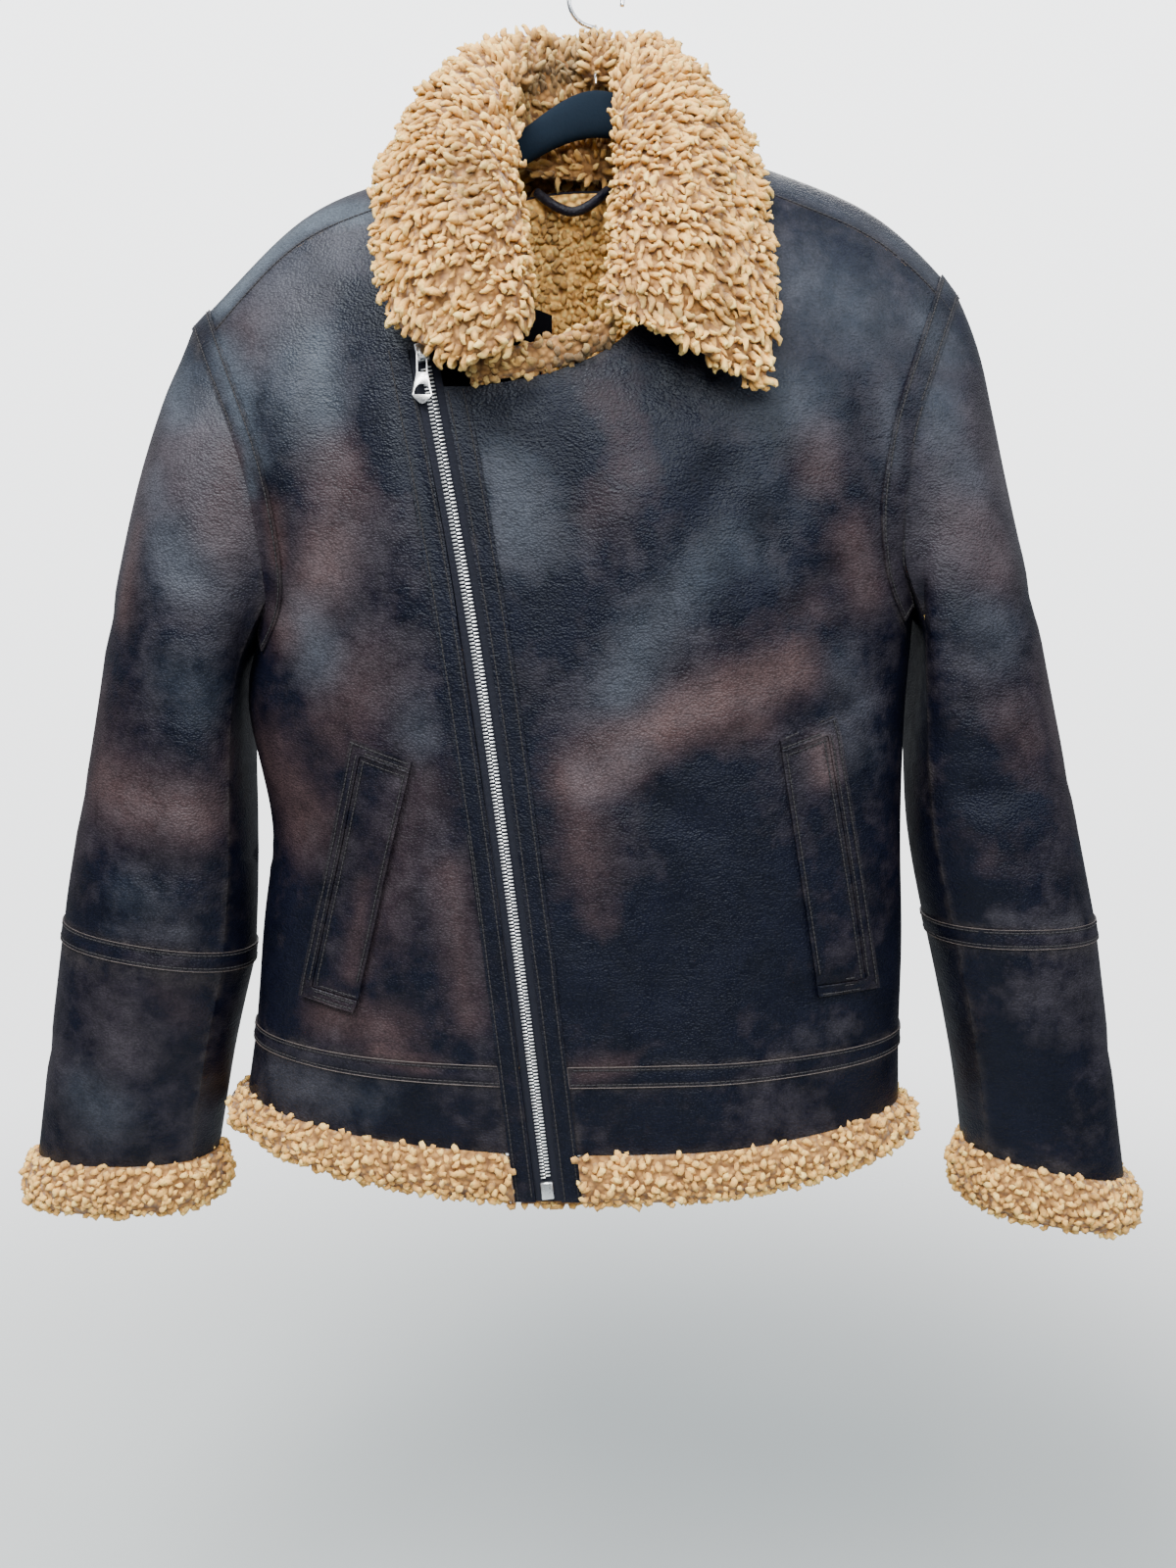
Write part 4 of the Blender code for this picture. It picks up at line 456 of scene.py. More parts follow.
def leatherMaterial(name, look, browner=0.0):
    material, tree, shader = startMaterial(name, Specular_IOR_Level=0.17, Specular_Tint=(0.80, 0.90, 1.0, 1))
    place = stretched(tree, (1, 1, 1.35))
    warp = add(tree, "ShaderNodeTexNoise", {"Vector": place, "Scale": 95.0, "Detail": 2.0})
    soft = vectors(tree, "MULTIPLY", warp.outputs["Color"], (0.004, 0.004, 0.004))
    moved = vectors(tree, "ADD", place, soft)
    pebble = add(tree, "ShaderNodeTexVoronoi", {"Vector": moved, "Scale": look["grain"], "Randomness": 1.0},
                 feature="SMOOTH_F1")
    pebble.inputs["Smoothness"].default_value = 0.6
    height = pebble.outputs["Distance"]
    clouds = noise(tree, stretched(tree, (1, 1, 0.8)), 11.0, 5.0, 0.55)
    fine = noise(tree, everyway(tree), 70.0, 4.0, 0.6)
    brown = mark(tree, "brown")
    paintedSheen = mark(tree, "paintedSheen")
    edge = mark(tree, "edge")
    uneven = sums(tree, "MULTIPLY_ADD", fine, 0.42, sums(tree, "MULTIPLY", clouds, 0.70))
    browned = sums(tree, "ADD", sums(tree, "MULTIPLY_ADD", brown, 0.90, browner),
                   sums(tree, "SUBTRACT", uneven, 0.53))
    # painted sheen: the blue-grey is mixed in where the strokes put it
    paintedSheenLevel = sums(tree, "ADD", sums(tree, "MULTIPLY", paintedSheen, 0.90), sums(tree, "SUBTRACT", uneven, 0.56))
    brownShare = ramp(tree, browned, [(0.0, grey(0)), (0.95, grey(1))])
    paintedSheenShare = ramp(tree, paintedSheenLevel, [(0.0, grey(0)), (0.95, grey(1))])
    colour = mixed(tree, brownShare, look["dark"], look["brown"])
    colour = mixed(tree, paintedSheenShare, colour, look["paintedSheen"])
    sewn = mark(tree, "sewn")
    colour = mixed(tree, sums(tree, "MULTIPLY", sewn, 0.75), colour, (0.006, 0.005, 0.006, 1))
    # lighter edges: rubbed leather, partly painted highlight along the seams and strip edges
    edgeRubAndHighlight = sums(tree, "MULTIPLY", edge, ramp(tree, fine, [(0.35, grey(0)), (0.7, grey(0.75))]))
    colour = mixed(tree, edgeRubAndHighlight, colour, look["rubAndHighlight"])
    groove = ramp(tree, height, [(0.0, grey(1)), (0.9, grey(0.45))])
    blotches = noise(tree, stretched(tree, (1, 1, 0.9)), 34.0, 5.0, 0.62)
    blotch = ramp(tree, blotches, [(0.34, (0.60, 0.60, 0.62, 1)), (0.64, grey(1))])
    dimmed = mixed(tree, 1.0, mixed(tree, 1.0, colour, groove, "MULTIPLY"), blotch, "MULTIPLY")
    tree.links.new(dimmed, shader.inputs["Base Color"])
    tree.links.new(ramp(tree, fine, [(0.3, grey(0.36)), (0.7, grey(0.54))]), shader.inputs["Roughness"])
    wrinkles = noise(tree, stretched(tree, (0.45, 0.45, 1.5)), look["wrinkle"], 4.0, 0.6)
    waves = noise(tree, stretched(tree, (0.7, 0.7, 1.2)), 24.0, 3.0, 0.5)
    normal = bumped(tree, waves, 0.35, 0.0026)
    normal = bumped(tree, wrinkles, 0.50, 0.0010, normal)
    normal = bumped(tree, sums(tree, "SUBTRACT", 1.0, height), 0.65, 0.0007, normal)
    tree.links.new(normal, shader.inputs["Normal"])
    return material


def pileMaterial(name, root, middle, tip, roughness=0.9):
    material, tree, shader = startMaterial(name, Roughness=roughness, Sheen_Weight=0.40, Sheen_Roughness=0.6,
                                          Sheen_Tint=(1.0, 0.80, 0.52, 1))
    shader.inputs["Specular IOR Level"].default_value = 0.15
    reach = mark(tree, "reach")
    shade = mark(tree, "shade")
    clouds = noise(tree, everyway(tree), 28.0, 3.0, 0.5)
    level = sums(tree, "ADD", sums(tree, "MULTIPLY", reach, 0.72), sums(tree, "MULTIPLY", shade, 0.30))
    # root to tip: dark roots are painted shade between the curls; light tips are partly the fur's colour and
    # partly painted highlight
    colour = ramp(tree, level, [(0.10, root), (0.46, middle), (0.92, tip)])
    darker = ramp(tree, clouds, [(0.35, (0.78, 0.72, 0.64, 1)), (0.60, grey(1))])
    toned = mixed(tree, 1.0, colour, darker, "MULTIPLY")
    # painted shade: pile in shadow is mixed toward a dark brown
    paintedShade = mark(tree, "paintedShade")
    toned = mixed(tree, paintedShade, toned, (0.060, 0.036, 0.022, 1))
    tree.links.new(toned, shader.inputs["Base Color"])
    strands = noise(tree, everyway(tree), 420.0, 4.0, 0.7)
    tree.links.new(bumped(tree, strands, 1.0, 0.0016), shader.inputs["Normal"])
    return material


def backingMaterial(name, root, middle, tip):
    # pile by bump and a cell pattern, darker between the cells as painted shade, for the lining that hardly
    # shows and the cloth under the curls
    material, tree, shader = startMaterial(name, Roughness=0.95, Sheen_Weight=0.2)
    curls = add(tree, "ShaderNodeTexVoronoi", {"Vector": everyway(tree), "Scale": 230.0},
                feature="SMOOTH_F1")
    curls.inputs["Smoothness"].default_value = 0.4
    colour = ramp(tree, curls.outputs["Distance"], [(0.1, tip), (0.5, middle), (0.85, root)])
    tree.links.new(colour, shader.inputs["Base Color"])
    tree.links.new(bumped(tree, sums(tree, "SUBTRACT", 1.0, curls.outputs["Distance"]), 1.0, 0.0035),
                   shader.inputs["Normal"])
    return material


def clothMaterial(name, colour, light):
    material, tree, shader = startMaterial(name, Roughness=0.9, Specular_IOR_Level=0.2)
    rows = add(tree, "ShaderNodeTexWave",
               {"Vector": everyway(tree), "Scale": 420.0, "Distortion": 1.0},
               wave_type="BANDS", bands_direction="Z")
    tree.links.new(mixed(tree, rows.outputs["Fac"], colour, light), shader.inputs["Base Color"])
    tree.links.new(bumped(tree, rows.outputs["Fac"], 0.6, 0.0004), shader.inputs["Normal"])
    return material


def metalMaterial(name, colour, dull, roughness):
    material, tree, shader = startMaterial(name, Metallic=1.0)
    marks = noise(tree, stretched(tree, (1, 1, 3)), 420.0, 4.0, 0.6)
    tree.links.new(mixed(tree, marks, colour, dull), shader.inputs["Base Color"])
    duller = ramp(tree, marks, [(0.3, grey(max(roughness - 0.08, 0.04))), (0.7, grey(roughness + 0.10))])
    tree.links.new(duller, shader.inputs["Roughness"])
    tree.links.new(bumped(tree, marks, 0.15, 0.0002), shader.inputs["Normal"])
    return material


def plainMaterial(name, dark, light, scale, roughness, depth, gloss=0.5):
    material, tree, shader = startMaterial(name, Roughness=roughness, Specular_IOR_Level=gloss)
    grains = noise(tree, everyway(tree), scale, 4.0, 0.6)
    tree.links.new(mixed(tree, grains, dark, light), shader.inputs["Base Color"])
    tree.links.new(bumped(tree, grains, 0.5, depth), shader.inputs["Normal"])
    return material


# root, middle and tip: the root's darkness is painted shade, the tip's lightness partly painted highlight
pileTones = ((0.200, 0.086, 0.024, 1), (0.860, 0.480, 0.124, 1), (1.000, 0.780, 0.270, 1))
# both leathers carry painted sheen in their colour
leather = leatherMaterial("worn_leather_painted_sheen", leatherLook)
trimLeather = leatherMaterial("rubbed_trim_leather_painted_sheen", leatherLook, 0.02)
lining = backingMaterial("pile_lining", *pileTones)
# dark browns: painted shade seen in the gaps between the curls
pileGroundPaintedShade = backingMaterial("pile_ground_painted_shade", (0.110, 0.046, 0.013, 1), (0.270, 0.130, 0.036, 1),
                            (0.420, 0.225, 0.070, 1))
pile = pileMaterial("honey_pile", *pileTones)
tapeCloth = clothMaterial("navy_tape", (0.005, 0.006, 0.011, 1), (0.012, 0.014, 0.023, 1))
thread = plainMaterial("dark_thread", (0.004, 0.004, 0.006, 1), (0.012, 0.011, 0.014, 1), 900.0, 0.8, 0.0002)
# pale cord colour: rubbed edge, partly painted highlight
rubbedEdgePaintedHighlight = plainMaterial("rubbed_edge_painted_highlight", (0.010, 0.009, 0.011, 1), (0.110, 0.088, 0.080, 1),
                           160.0, 0.6, 0.0002)
silver = metalMaterial("silver_zip", (0.90, 0.91, 0.92, 1), (0.70, 0.71, 0.73, 1), 0.30)
chrome = metalMaterial("chrome_wire", (0.88, 0.89, 0.91, 1), (0.74, 0.75, 0.78, 1), 0.12)
flock = plainMaterial("navy_hanger", (0.0018, 0.0055, 0.0120, 1), (0.0042, 0.0105, 0.0200, 1),
                      700.0, 0.95, 0.0004, 0.15)
# near black: painted shade in the hollow inside the neck
underlapPaintedShade = plainMaterial("underlap_painted_shade", (0.0008, 0.0008, 0.0014, 1), (0.0018, 0.0018, 0.0030, 1),
                            300.0, 0.95, 0.0002, 0.05)
print("materials are ready")


def shellOf(node, name, levels, sharpness=50, crease=1.0):
    mesh = nodes[node].data.copy()
    mesh.materials.clear()
    piece = newPiece(name, mesh)
    pick(piece)
    bpy.ops.mesh.customdata_custom_splitnormals_clear()
    bpy.ops.object.mode_set(mode="EDIT")
    bpy.ops.mesh.select_mode(type="EDGE")
    bpy.ops.mesh.select_all(action="SELECT")
    bpy.ops.mesh.remove_doubles(threshold=0.00001)
    bpy.ops.mesh.mark_sharp(clear=True)
    bpy.ops.mesh.tris_convert_to_quads(face_threshold=math.radians(40), shape_threshold=math.radians(60))
    bpy.ops.mesh.select_all(action="DESELECT")
    bpy.ops.mesh.edges_select_sharp(sharpness=math.radians(sharpness))
    bpy.ops.transform.edge_crease(value=crease)
    bpy.ops.mesh.select_all(action="DESELECT")
    bpy.ops.object.mode_set(mode="OBJECT")
    if levels:
        finer = piece.modifiers.new("finer", "SUBSURF")
        finer.levels = levels
        finer.render_levels = levels
        bpy.ops.object.modifier_apply(modifier="finer")
    return piece


def read(items, key):
    values = np.empty(len(items) * 3)
    items.foreach_get(key, values)
    return values.reshape(-1, 3)


def pointsOf(piece):
    return read(piece.data.vertices, "co")


def normalsOf(piece):
    return read(piece.data.vertices, "normal")


def move(piece, points):
    piece.data.vertices.foreach_set("co", points.ravel())
    piece.data.update()


def nearness(points, spots, width):
    # 1 at a spot, fading to 0 over the width
    finder = kdtree.KDTree(len(spots))
    for k, spot in enumerate(spots):
        finder.insert(spot, k)
    finder.balance()
    return np.array([math.exp(-(finder.find(Vector(p))[2] / width) ** 2) for p in points])


# how much pieces grow where the wall would show through their seams
closing = {"zip_tape": 0.0005, "zip_placket": 0.0002, "hem_panel": 0.0003, "hem_strip": 0.0003,
           "front": 0.0003, "back": 0.0003, "shoulder": 0.0003, "armhole": 0.0002, "sleeve": 0.0002,
           "forearm": 0.0002}


def drape(node, piece):
    # the listed creases move both faces of a wall the same way
    points = pointsOf(piece)
    normals = normalsOf(piece)
    away = awayFromInside(node, points)
    facing = (normals * away).sum(1)
    share = np.clip(np.abs(facing) * 1.6, 0, 1)[:, None]
    way = normals * np.sign(facing)[:, None] * share + away * (1 - share)
    swell = next((size for start, size in closing.items() if node.startswith(start)), 0.0)
    points = points + way * creaseHeight(points)[:, None] + normals * swell
    move(piece, points)


def outerEdges(node, piece):
    # chains of points along the outer face's edges, each with the way into the face and the face's normal
    form = bmesh.new()
    form.from_mesh(piece.data)
    form.faces.ensure_lookup_table()
    centres = np.array([f.calc_center_median() for f in form.faces])
    outward = (np.array([f.normal for f in form.faces]) * awayFromInside(node, centres)).sum(1)
    links = {}
    found = {}
    for edge in form.edges:
        if len(edge.link_faces) != 2 or edge.calc_face_angle(0) < math.radians(42):
            continue
        first, second = edge.link_faces
        if outward[first.index] < outward[second.index]:
            first, second = second, first
        if outward[first.index] < 0.5 or outward[second.index] > 0.55:
            continue
        a, b = edge.verts[0].index, edge.verts[1].index
        links.setdefault(a, []).append(b)
        links.setdefault(b, []).append(a)
        middle = (edge.verts[0].co + edge.verts[1].co) / 2
        found[frozenset((a, b))] = (first.normal.copy(), first.calc_center_median() - middle)
    places = {v.index: v.co.copy() for v in form.verts}
    form.free()
    chains = []
    left = set(found)
    while left:
        starts = [v for v in links if len(links[v]) == 1 and any(frozenset((v, w)) in left for w in links[v])]
        here = starts[0] if starts else next(iter(min(left, key=sorted)))
        chain = [here]
        while True:
            on = [w for w in links[here] if frozenset((here, w)) in left]
            if not on:
                break
            left.discard(frozenset((here, on[0])))
            here = on[0]
            chain.append(here)
        chains.append(chain)
    rows = []
    for chain in chains:
        row = []
        for a, b in zip(chain[:-1], chain[1:]):
            normal, inward = found[frozenset((a, b))]
            row.append((places[a], places[b], normal, inward))
        rows.append(row)
    return rows


def stitchPlaces(rows, inset, pitch, shortest):
    # evenly spaced places beside the edges, split where an edge turns a corner
    runs = []
    for row in rows:
        run = []
        for a, b, normal, inward in row:
            heading = (b - a).normalized()
            if run and run[-1][1].dot(heading) < 0.75:
                runs.append(run)
                run = []
            side = normal.cross(heading)
            if side.dot(inward) < 0:
                side = -side
            run.append((a, heading, normal, side, (b - a).length))
        runs.append(run)
    places = []
    for run in runs:
        total = sum(r[4] for r in run)
        if total < shortest:
            continue
        at = inset
        passed = 0.0
        for a, heading, normal, side, length in run:
            while at <= passed + length and at < total - inset:
                places.append((a + heading * (at - passed) + side * inset, normal, heading))
                at += pitch
            passed += length
    return places


def wallFinish(node, piece, outer, inner):
    piece.data.materials.append(outer)
    piece.data.materials.append(inner)
    normals = read(piece.data.polygons, "normal")
    centres = read(piece.data.polygons, "center")
    inward = (normals * awayFromInside(node, centres)).sum(1) < -0.5
    piece.data.polygons.foreach_set("material_index", inward.astype(np.int32))
    piece.data.polygons.foreach_set("use_smooth", np.ones(len(inward), bool))
    pick(piece)
    bpy.ops.object.shade_smooth_by_angle(angle=smoothAngle)


def tone(piece, rows, edgeWidth, share=1.0, edgeRubAndHighlightAmount=1.0, held=0.0):
    points = pointsOf(piece)
    brown, paintedSheen = patchTones(points)
    keep(piece.data, "brown", brown * share - held)
    keep(piece.data, "paintedSheen", paintedSheen * share - held)
    spots = [p for row in rows for a, b, _, _ in row for p in (a, (a + b) / 2)]
    # edges get lighter: rubbed leather, partly painted highlight
    edge = nearness(points, spots, edgeWidth) if spots else np.zeros(len(points))
    keep(piece.data, "edge", edge * edgeRubAndHighlightAmount)


# every leather piece: subdivision levels, cut width and length, area where it isn't a rectangle
panels = {
    "back": (2, 0.56, 0.63, 0.300),
    "front_left": (2, 0.37, 0.61, 0.172), "front_right": (2, 0.24, 0.60, 0.106),
    "sleeve_top_right": (2, 0.29, 0.45, 0.110), "sleeve_top_left": (2, 0.29, 0.45, 0.106),
    "sleeve_under_right": (2, 0.09, 0.27, 0.021), "sleeve_under_left": (2, 0.09, 0.27, 0.021),
    "forearm_top_right": (2, 0.30, 0.17, 0.048), "forearm_top_left": (2, 0.29, 0.18, 0.048),
    "forearm_under_right": (2, 0.08, 0.15, 0.011), "forearm_under_left": (2, 0.08, 0.16, 0.012),
    "hem_panel_back": (3, 0.57, 0.054, None), "hem_panel_left": (3, 0.28, 0.054, None),
    "hem_panel_right": (3, 0.22, 0.055, None),
}
trims = {
    "shoulder_strip_right": (3, 0.21, 0.110, 0.0207, 0.0022),
    "shoulder_strip_left": (3, 0.19, 0.110, 0.0186, 0.0022),
    "armhole_tape_right": (3, 0.53, 0.019, None, 0.0026), "armhole_tape_left": (3, 0.54, 0.019, None, 0.0026),
    "sleeve_band_right": (3, 0.40, 0.019, None, 0.0022), "sleeve_band_left": (3, 0.37, 0.019, None, 0.0022),
    "hem_strip_back": (3, 0.57, 0.0185, None, 0.0022), "hem_strip_left": (3, 0.28, 0.020, None, 0.0022),
    "hem_strip_right": (3, 0.22, 0.020, None, 0.0022),
    "zip_placket_left": (2, 0.57, 0.0165, None, 0.0024), "zip_placket_right": (2, 0.59, 0.0165, None, 0.0024),
    "pocket_welt_right": (3, 0.185, 0.036, None, 0.0030), "pocket_welt_left": (3, 0.185, 0.036, None, 0.0030),
    "pocket_frame_right": (3, 0.30, 0.011, None, 0.0024), "pocket_frame_left": (3, 0.32, 0.011, None, 0.0024),
}
stitching = {"pitch": 0.0036, "long": 0.0028, "thick": 0.00048, "lift": 0.0002, "shortest": 0.030,
             "groove": 0.0015, "dip": 0.0005}


def modelStitch():
    # one stitch: a low rounded bar along x
    bpy.ops.mesh.primitive_cylinder_add(vertices=6, radius=stitching["thick"], depth=stitching["long"],
                                        rotation=(0, math.pi / 2, 0))
    stitch = bpy.context.object
    stitch.name = "one_stitch"
    bpy.ops.object.transform_apply(location=True, rotation=True, scale=True)
    bpy.ops.object.mode_set(mode="EDIT")
    bpy.ops.mesh.select_mode(type="FACE")
    bpy.ops.mesh.select_all(action="DESELECT")
    bpy.ops.object.mode_set(mode="OBJECT")
    for face in stitch.data.polygons:
        face.select = abs(face.normal.x) > 0.9
    bpy.ops.object.mode_set(mode="EDIT")
    bpy.ops.mesh.extrude_region_move()
    bpy.ops.transform.resize(value=(1.18, 0.5, 0.5))
    bpy.ops.object.mode_set(mode="OBJECT")
    bpy.ops.object.shade_smooth()
    stitch.data.materials.append(thread)
    return stitch


def handOver(piece, node=None, body="coat"):
    if node:
        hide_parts(node)
    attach(piece, body)


def newTree(name):
    tree = bpy.data.node_groups.new(name, "GeometryNodeTree")
    tree.interface.new_socket("Geometry", in_out="INPUT", socket_type="NodeSocketGeometry")
    tree.interface.new_socket("Geometry", in_out="OUTPUT", socket_type="NodeSocketGeometry")
    return tree, tree.nodes.new("NodeGroupInput"), tree.nodes.new("NodeGroupOutput")


def named(tree, name, kind):
    made = add(tree, "GeometryNodeInputNamedAttribute", data_type=kind)
    made.inputs["Name"].default_value = name
    return made.outputs["Attribute"]


def runTree(piece, tree):
    made = piece.modifiers.new("copies", "NODES")
    made.node_group = tree
    pick(piece)
    bpy.ops.object.modifier_apply(modifier="copies")


def copiesAt(name, model, places, size=1.0):
    # copies of one small model at points, upright on the surface and turned along the line
    mesh = bpy.data.meshes.new(name)
    mesh.from_pydata([p for p, _, _ in places], [], [])
    keep(mesh, "upright", [tuple(n) for _, n, _ in places], "FLOAT_VECTOR")
    keep(mesh, "along", [tuple(h) for _, _, h in places], "FLOAT_VECTOR")
    piece = newPiece(name, mesh)
    tree, came, gone = newTree(name)
    standing = add(tree, "FunctionNodeAlignRotationToVector",
                   {"Vector": named(tree, "upright", "FLOAT_VECTOR")}, axis="Z")
    turned = add(tree, "FunctionNodeAlignRotationToVector",
                 {"Rotation": standing.outputs[0], "Vector": named(tree, "along", "FLOAT_VECTOR")},
                 axis="X", pivot_axis="Z")
    source = add(tree, "GeometryNodeObjectInfo", {"Object": model})
    placed = add(tree, "GeometryNodeInstanceOnPoints",
                 {"Points": came.outputs[0], "Instance": source.outputs["Geometry"],
                  "Rotation": turned.outputs[0], "Scale": (size, size, size)})
    real = add(tree, "GeometryNodeRealizeInstances", {"Geometry": placed.outputs[0]})
    tree.links.new(real.outputs[0], gone.inputs[0])
    runTree(piece, tree)
    return piece


oneStitch = modelStitch()


def pullIn(piece, places):
    # the leather dips and darkens along its stitching
    points = pointsOf(piece)
    near = nearness(points, [spot for spot, _, _ in places], stitching["groove"])
    points -= normalsOf(piece) * (near * stitching["dip"])[:, None]
    move(piece, points)
    keep(piece.data, "sewn", near)


def sew(name, piece, places):
    mesh = piece.data
    surface = BVHTree.FromPolygons([v.co for v in mesh.vertices], [p.vertices for p in mesh.polygons])
    laid = []
    for spot, normal, heading in places:
        found, facing, _, _ = surface.find_nearest(spot)
        if facing.dot(normal) < 0.5:
            continue
        laid.append((found + facing * stitching["lift"], facing, heading))
    stitches = copiesAt(name, oneStitch, laid)
    handOver(stitches)
    return stitches


def edgeCord(name, node, rows):
    # the rubbed edge of a strip: a fine pale cord along each long edge, its lighter colour partly rubbed
    # leather and partly painted highlight
    line = bpy.data.curves.new(name, "CURVE")
    line.dimensions = "3D"
    line.bevel_depth = cords[node]
    line.bevel_resolution = 1
    line.use_fill_caps = True
    for row in rows:
        path = [row[0][0]] + [b for _, b, _, _ in row]
        if sum((b - a).length for a, b, _, _ in row) < stitching["shortest"]:
            continue
        spline = line.splines.new("POLY")
        spline.points.add(len(path) - 1)
        for point, place in zip(spline.points, path):
            point.co = (*place, 1)
    piece = newPiece(name, line)
    pick(piece)
    bpy.ops.object.convert(target="MESH")
    piece = bpy.context.object
    bpy.ops.object.shade_smooth()
    piece.data.materials.clear()
    piece.data.materials.append(rubbedEdgePaintedHighlight)
    handOver(piece)
    return piece


# radius of the rubbed edge, pale with painted highlight, on the strips that show one
cords = {"hem_strip_back": 0.00034, "hem_strip_left": 0.00034, "hem_strip_right": 0.00034,
         "sleeve_band_right": 0.00026, "sleeve_band_left": 0.00026}


for node, (levels, width, length, area) in panels.items():
    piece = shellOf(node, node + "_leather", levels)
    drape(node, piece)
    rows = outerEdges(node, piece)
    tone(piece, rows, 0.0030)
    wallFinish(node, piece, leather, lining)
    handOver(piece, node)
print("leather panels are made")

for node, (levels, width, length, area, inset) in trims.items():
    piece = shellOf(node, node + "_leather", levels)
    drape(node, piece)
    rows = outerEdges(node, piece)
    places = stitchPlaces(rows, inset, stitching["pitch"], stitching["shortest"])
    if places:
        pullIn(piece, places)
    if node.startswith("zip"):
        tone(piece, rows, 0.0018, 0.45, 0.25, 0.16)
    elif node.startswith("pocket"):
        tone(piece, rows, 0.0018, 0.55, 0.5, 0.0)
    else:
        tone(piece, rows, 0.0018, 0.9)
    lined = node.startswith(("shoulder", "sleeve", "hem"))
    wallFinish(node, piece, trimLeather, lining if lined else trimLeather)
    handOver(piece, node)
    extras = [sew(node + "_stitches", piece, places)] if places else []
    if node in cords:
        extras.append(edgeCord(node + "_edges", node, rows))
print("strips, tapes and welts are sewn on")


def modelCurl(name, rings, sides):
    # a short curled tuft: a ring pulled up, turned over and narrowed, and closed at its tip
    bpy.ops.mesh.primitive_circle_add(vertices=sides, radius=rings[0][2], fill_type="NOTHING")
    curl = bpy.context.object
    curl.name = name
    bpy.ops.object.mode_set(mode="EDIT")
    bpy.ops.mesh.select_all(action="SELECT")
    here = Vector((0, 0, 0))
    tilt = 0.0
    radius = rings[0][2]
    for step, turn, wide in rings[1:]:
        bpy.ops.mesh.extrude_edges_move()
        before = tilt
        tilt += math.radians(turn)
        middle = (before + tilt) / 2
        move = Vector((math.sin(middle), 0, math.cos(middle))) * step
        bpy.ops.transform.translate(value=move)
        here = here + move
        bpy.ops.transform.rotate(value=-math.radians(turn), orient_axis="Y", center_override=here)
        bpy.ops.transform.resize(value=(wide / radius,) * 3, center_override=here)
        radius = wide
    bpy.ops.mesh.merge(type="COLLAPSE")
    bpy.ops.mesh.select_all(action="SELECT")
    bpy.ops.mesh.normals_make_consistent(inside=False)
    bpy.ops.object.mode_set(mode="OBJECT")
    bpy.ops.object.shade_smooth()
    heights = np.linspace(0, 1, len(rings))
    reach = np.repeat(heights, sides)[:len(curl.data.vertices) - 1]
    keep(curl.data, "reach", np.append(reach, 1.0))
    curl.data.materials.append(pile)
    return curl


# rings of a curl: step along, turn in degrees, radius
curls = {
    "combed": [(0, 0, 0.0013), (0.0021, 6, 0.0019), (0.0022, 16, 0.0020), (0.0022, 28, 0.0016),
               (0.0018, 40, 0.0010), (0.0010, 30, 0.0003)],
    "round": [(0, 0, 0.0012), (0.0016, 20, 0.0019), (0.0017, 45, 0.0021), (0.0017, 60, 0.0021),
              (0.0015, 60, 0.0017), (0.0009, 30, 0.0009)],
}
combedCurl = modelCurl("combed_curl", curls["combed"], 4)
roundCurl = modelCurl("round_curl", curls["round"], 4)


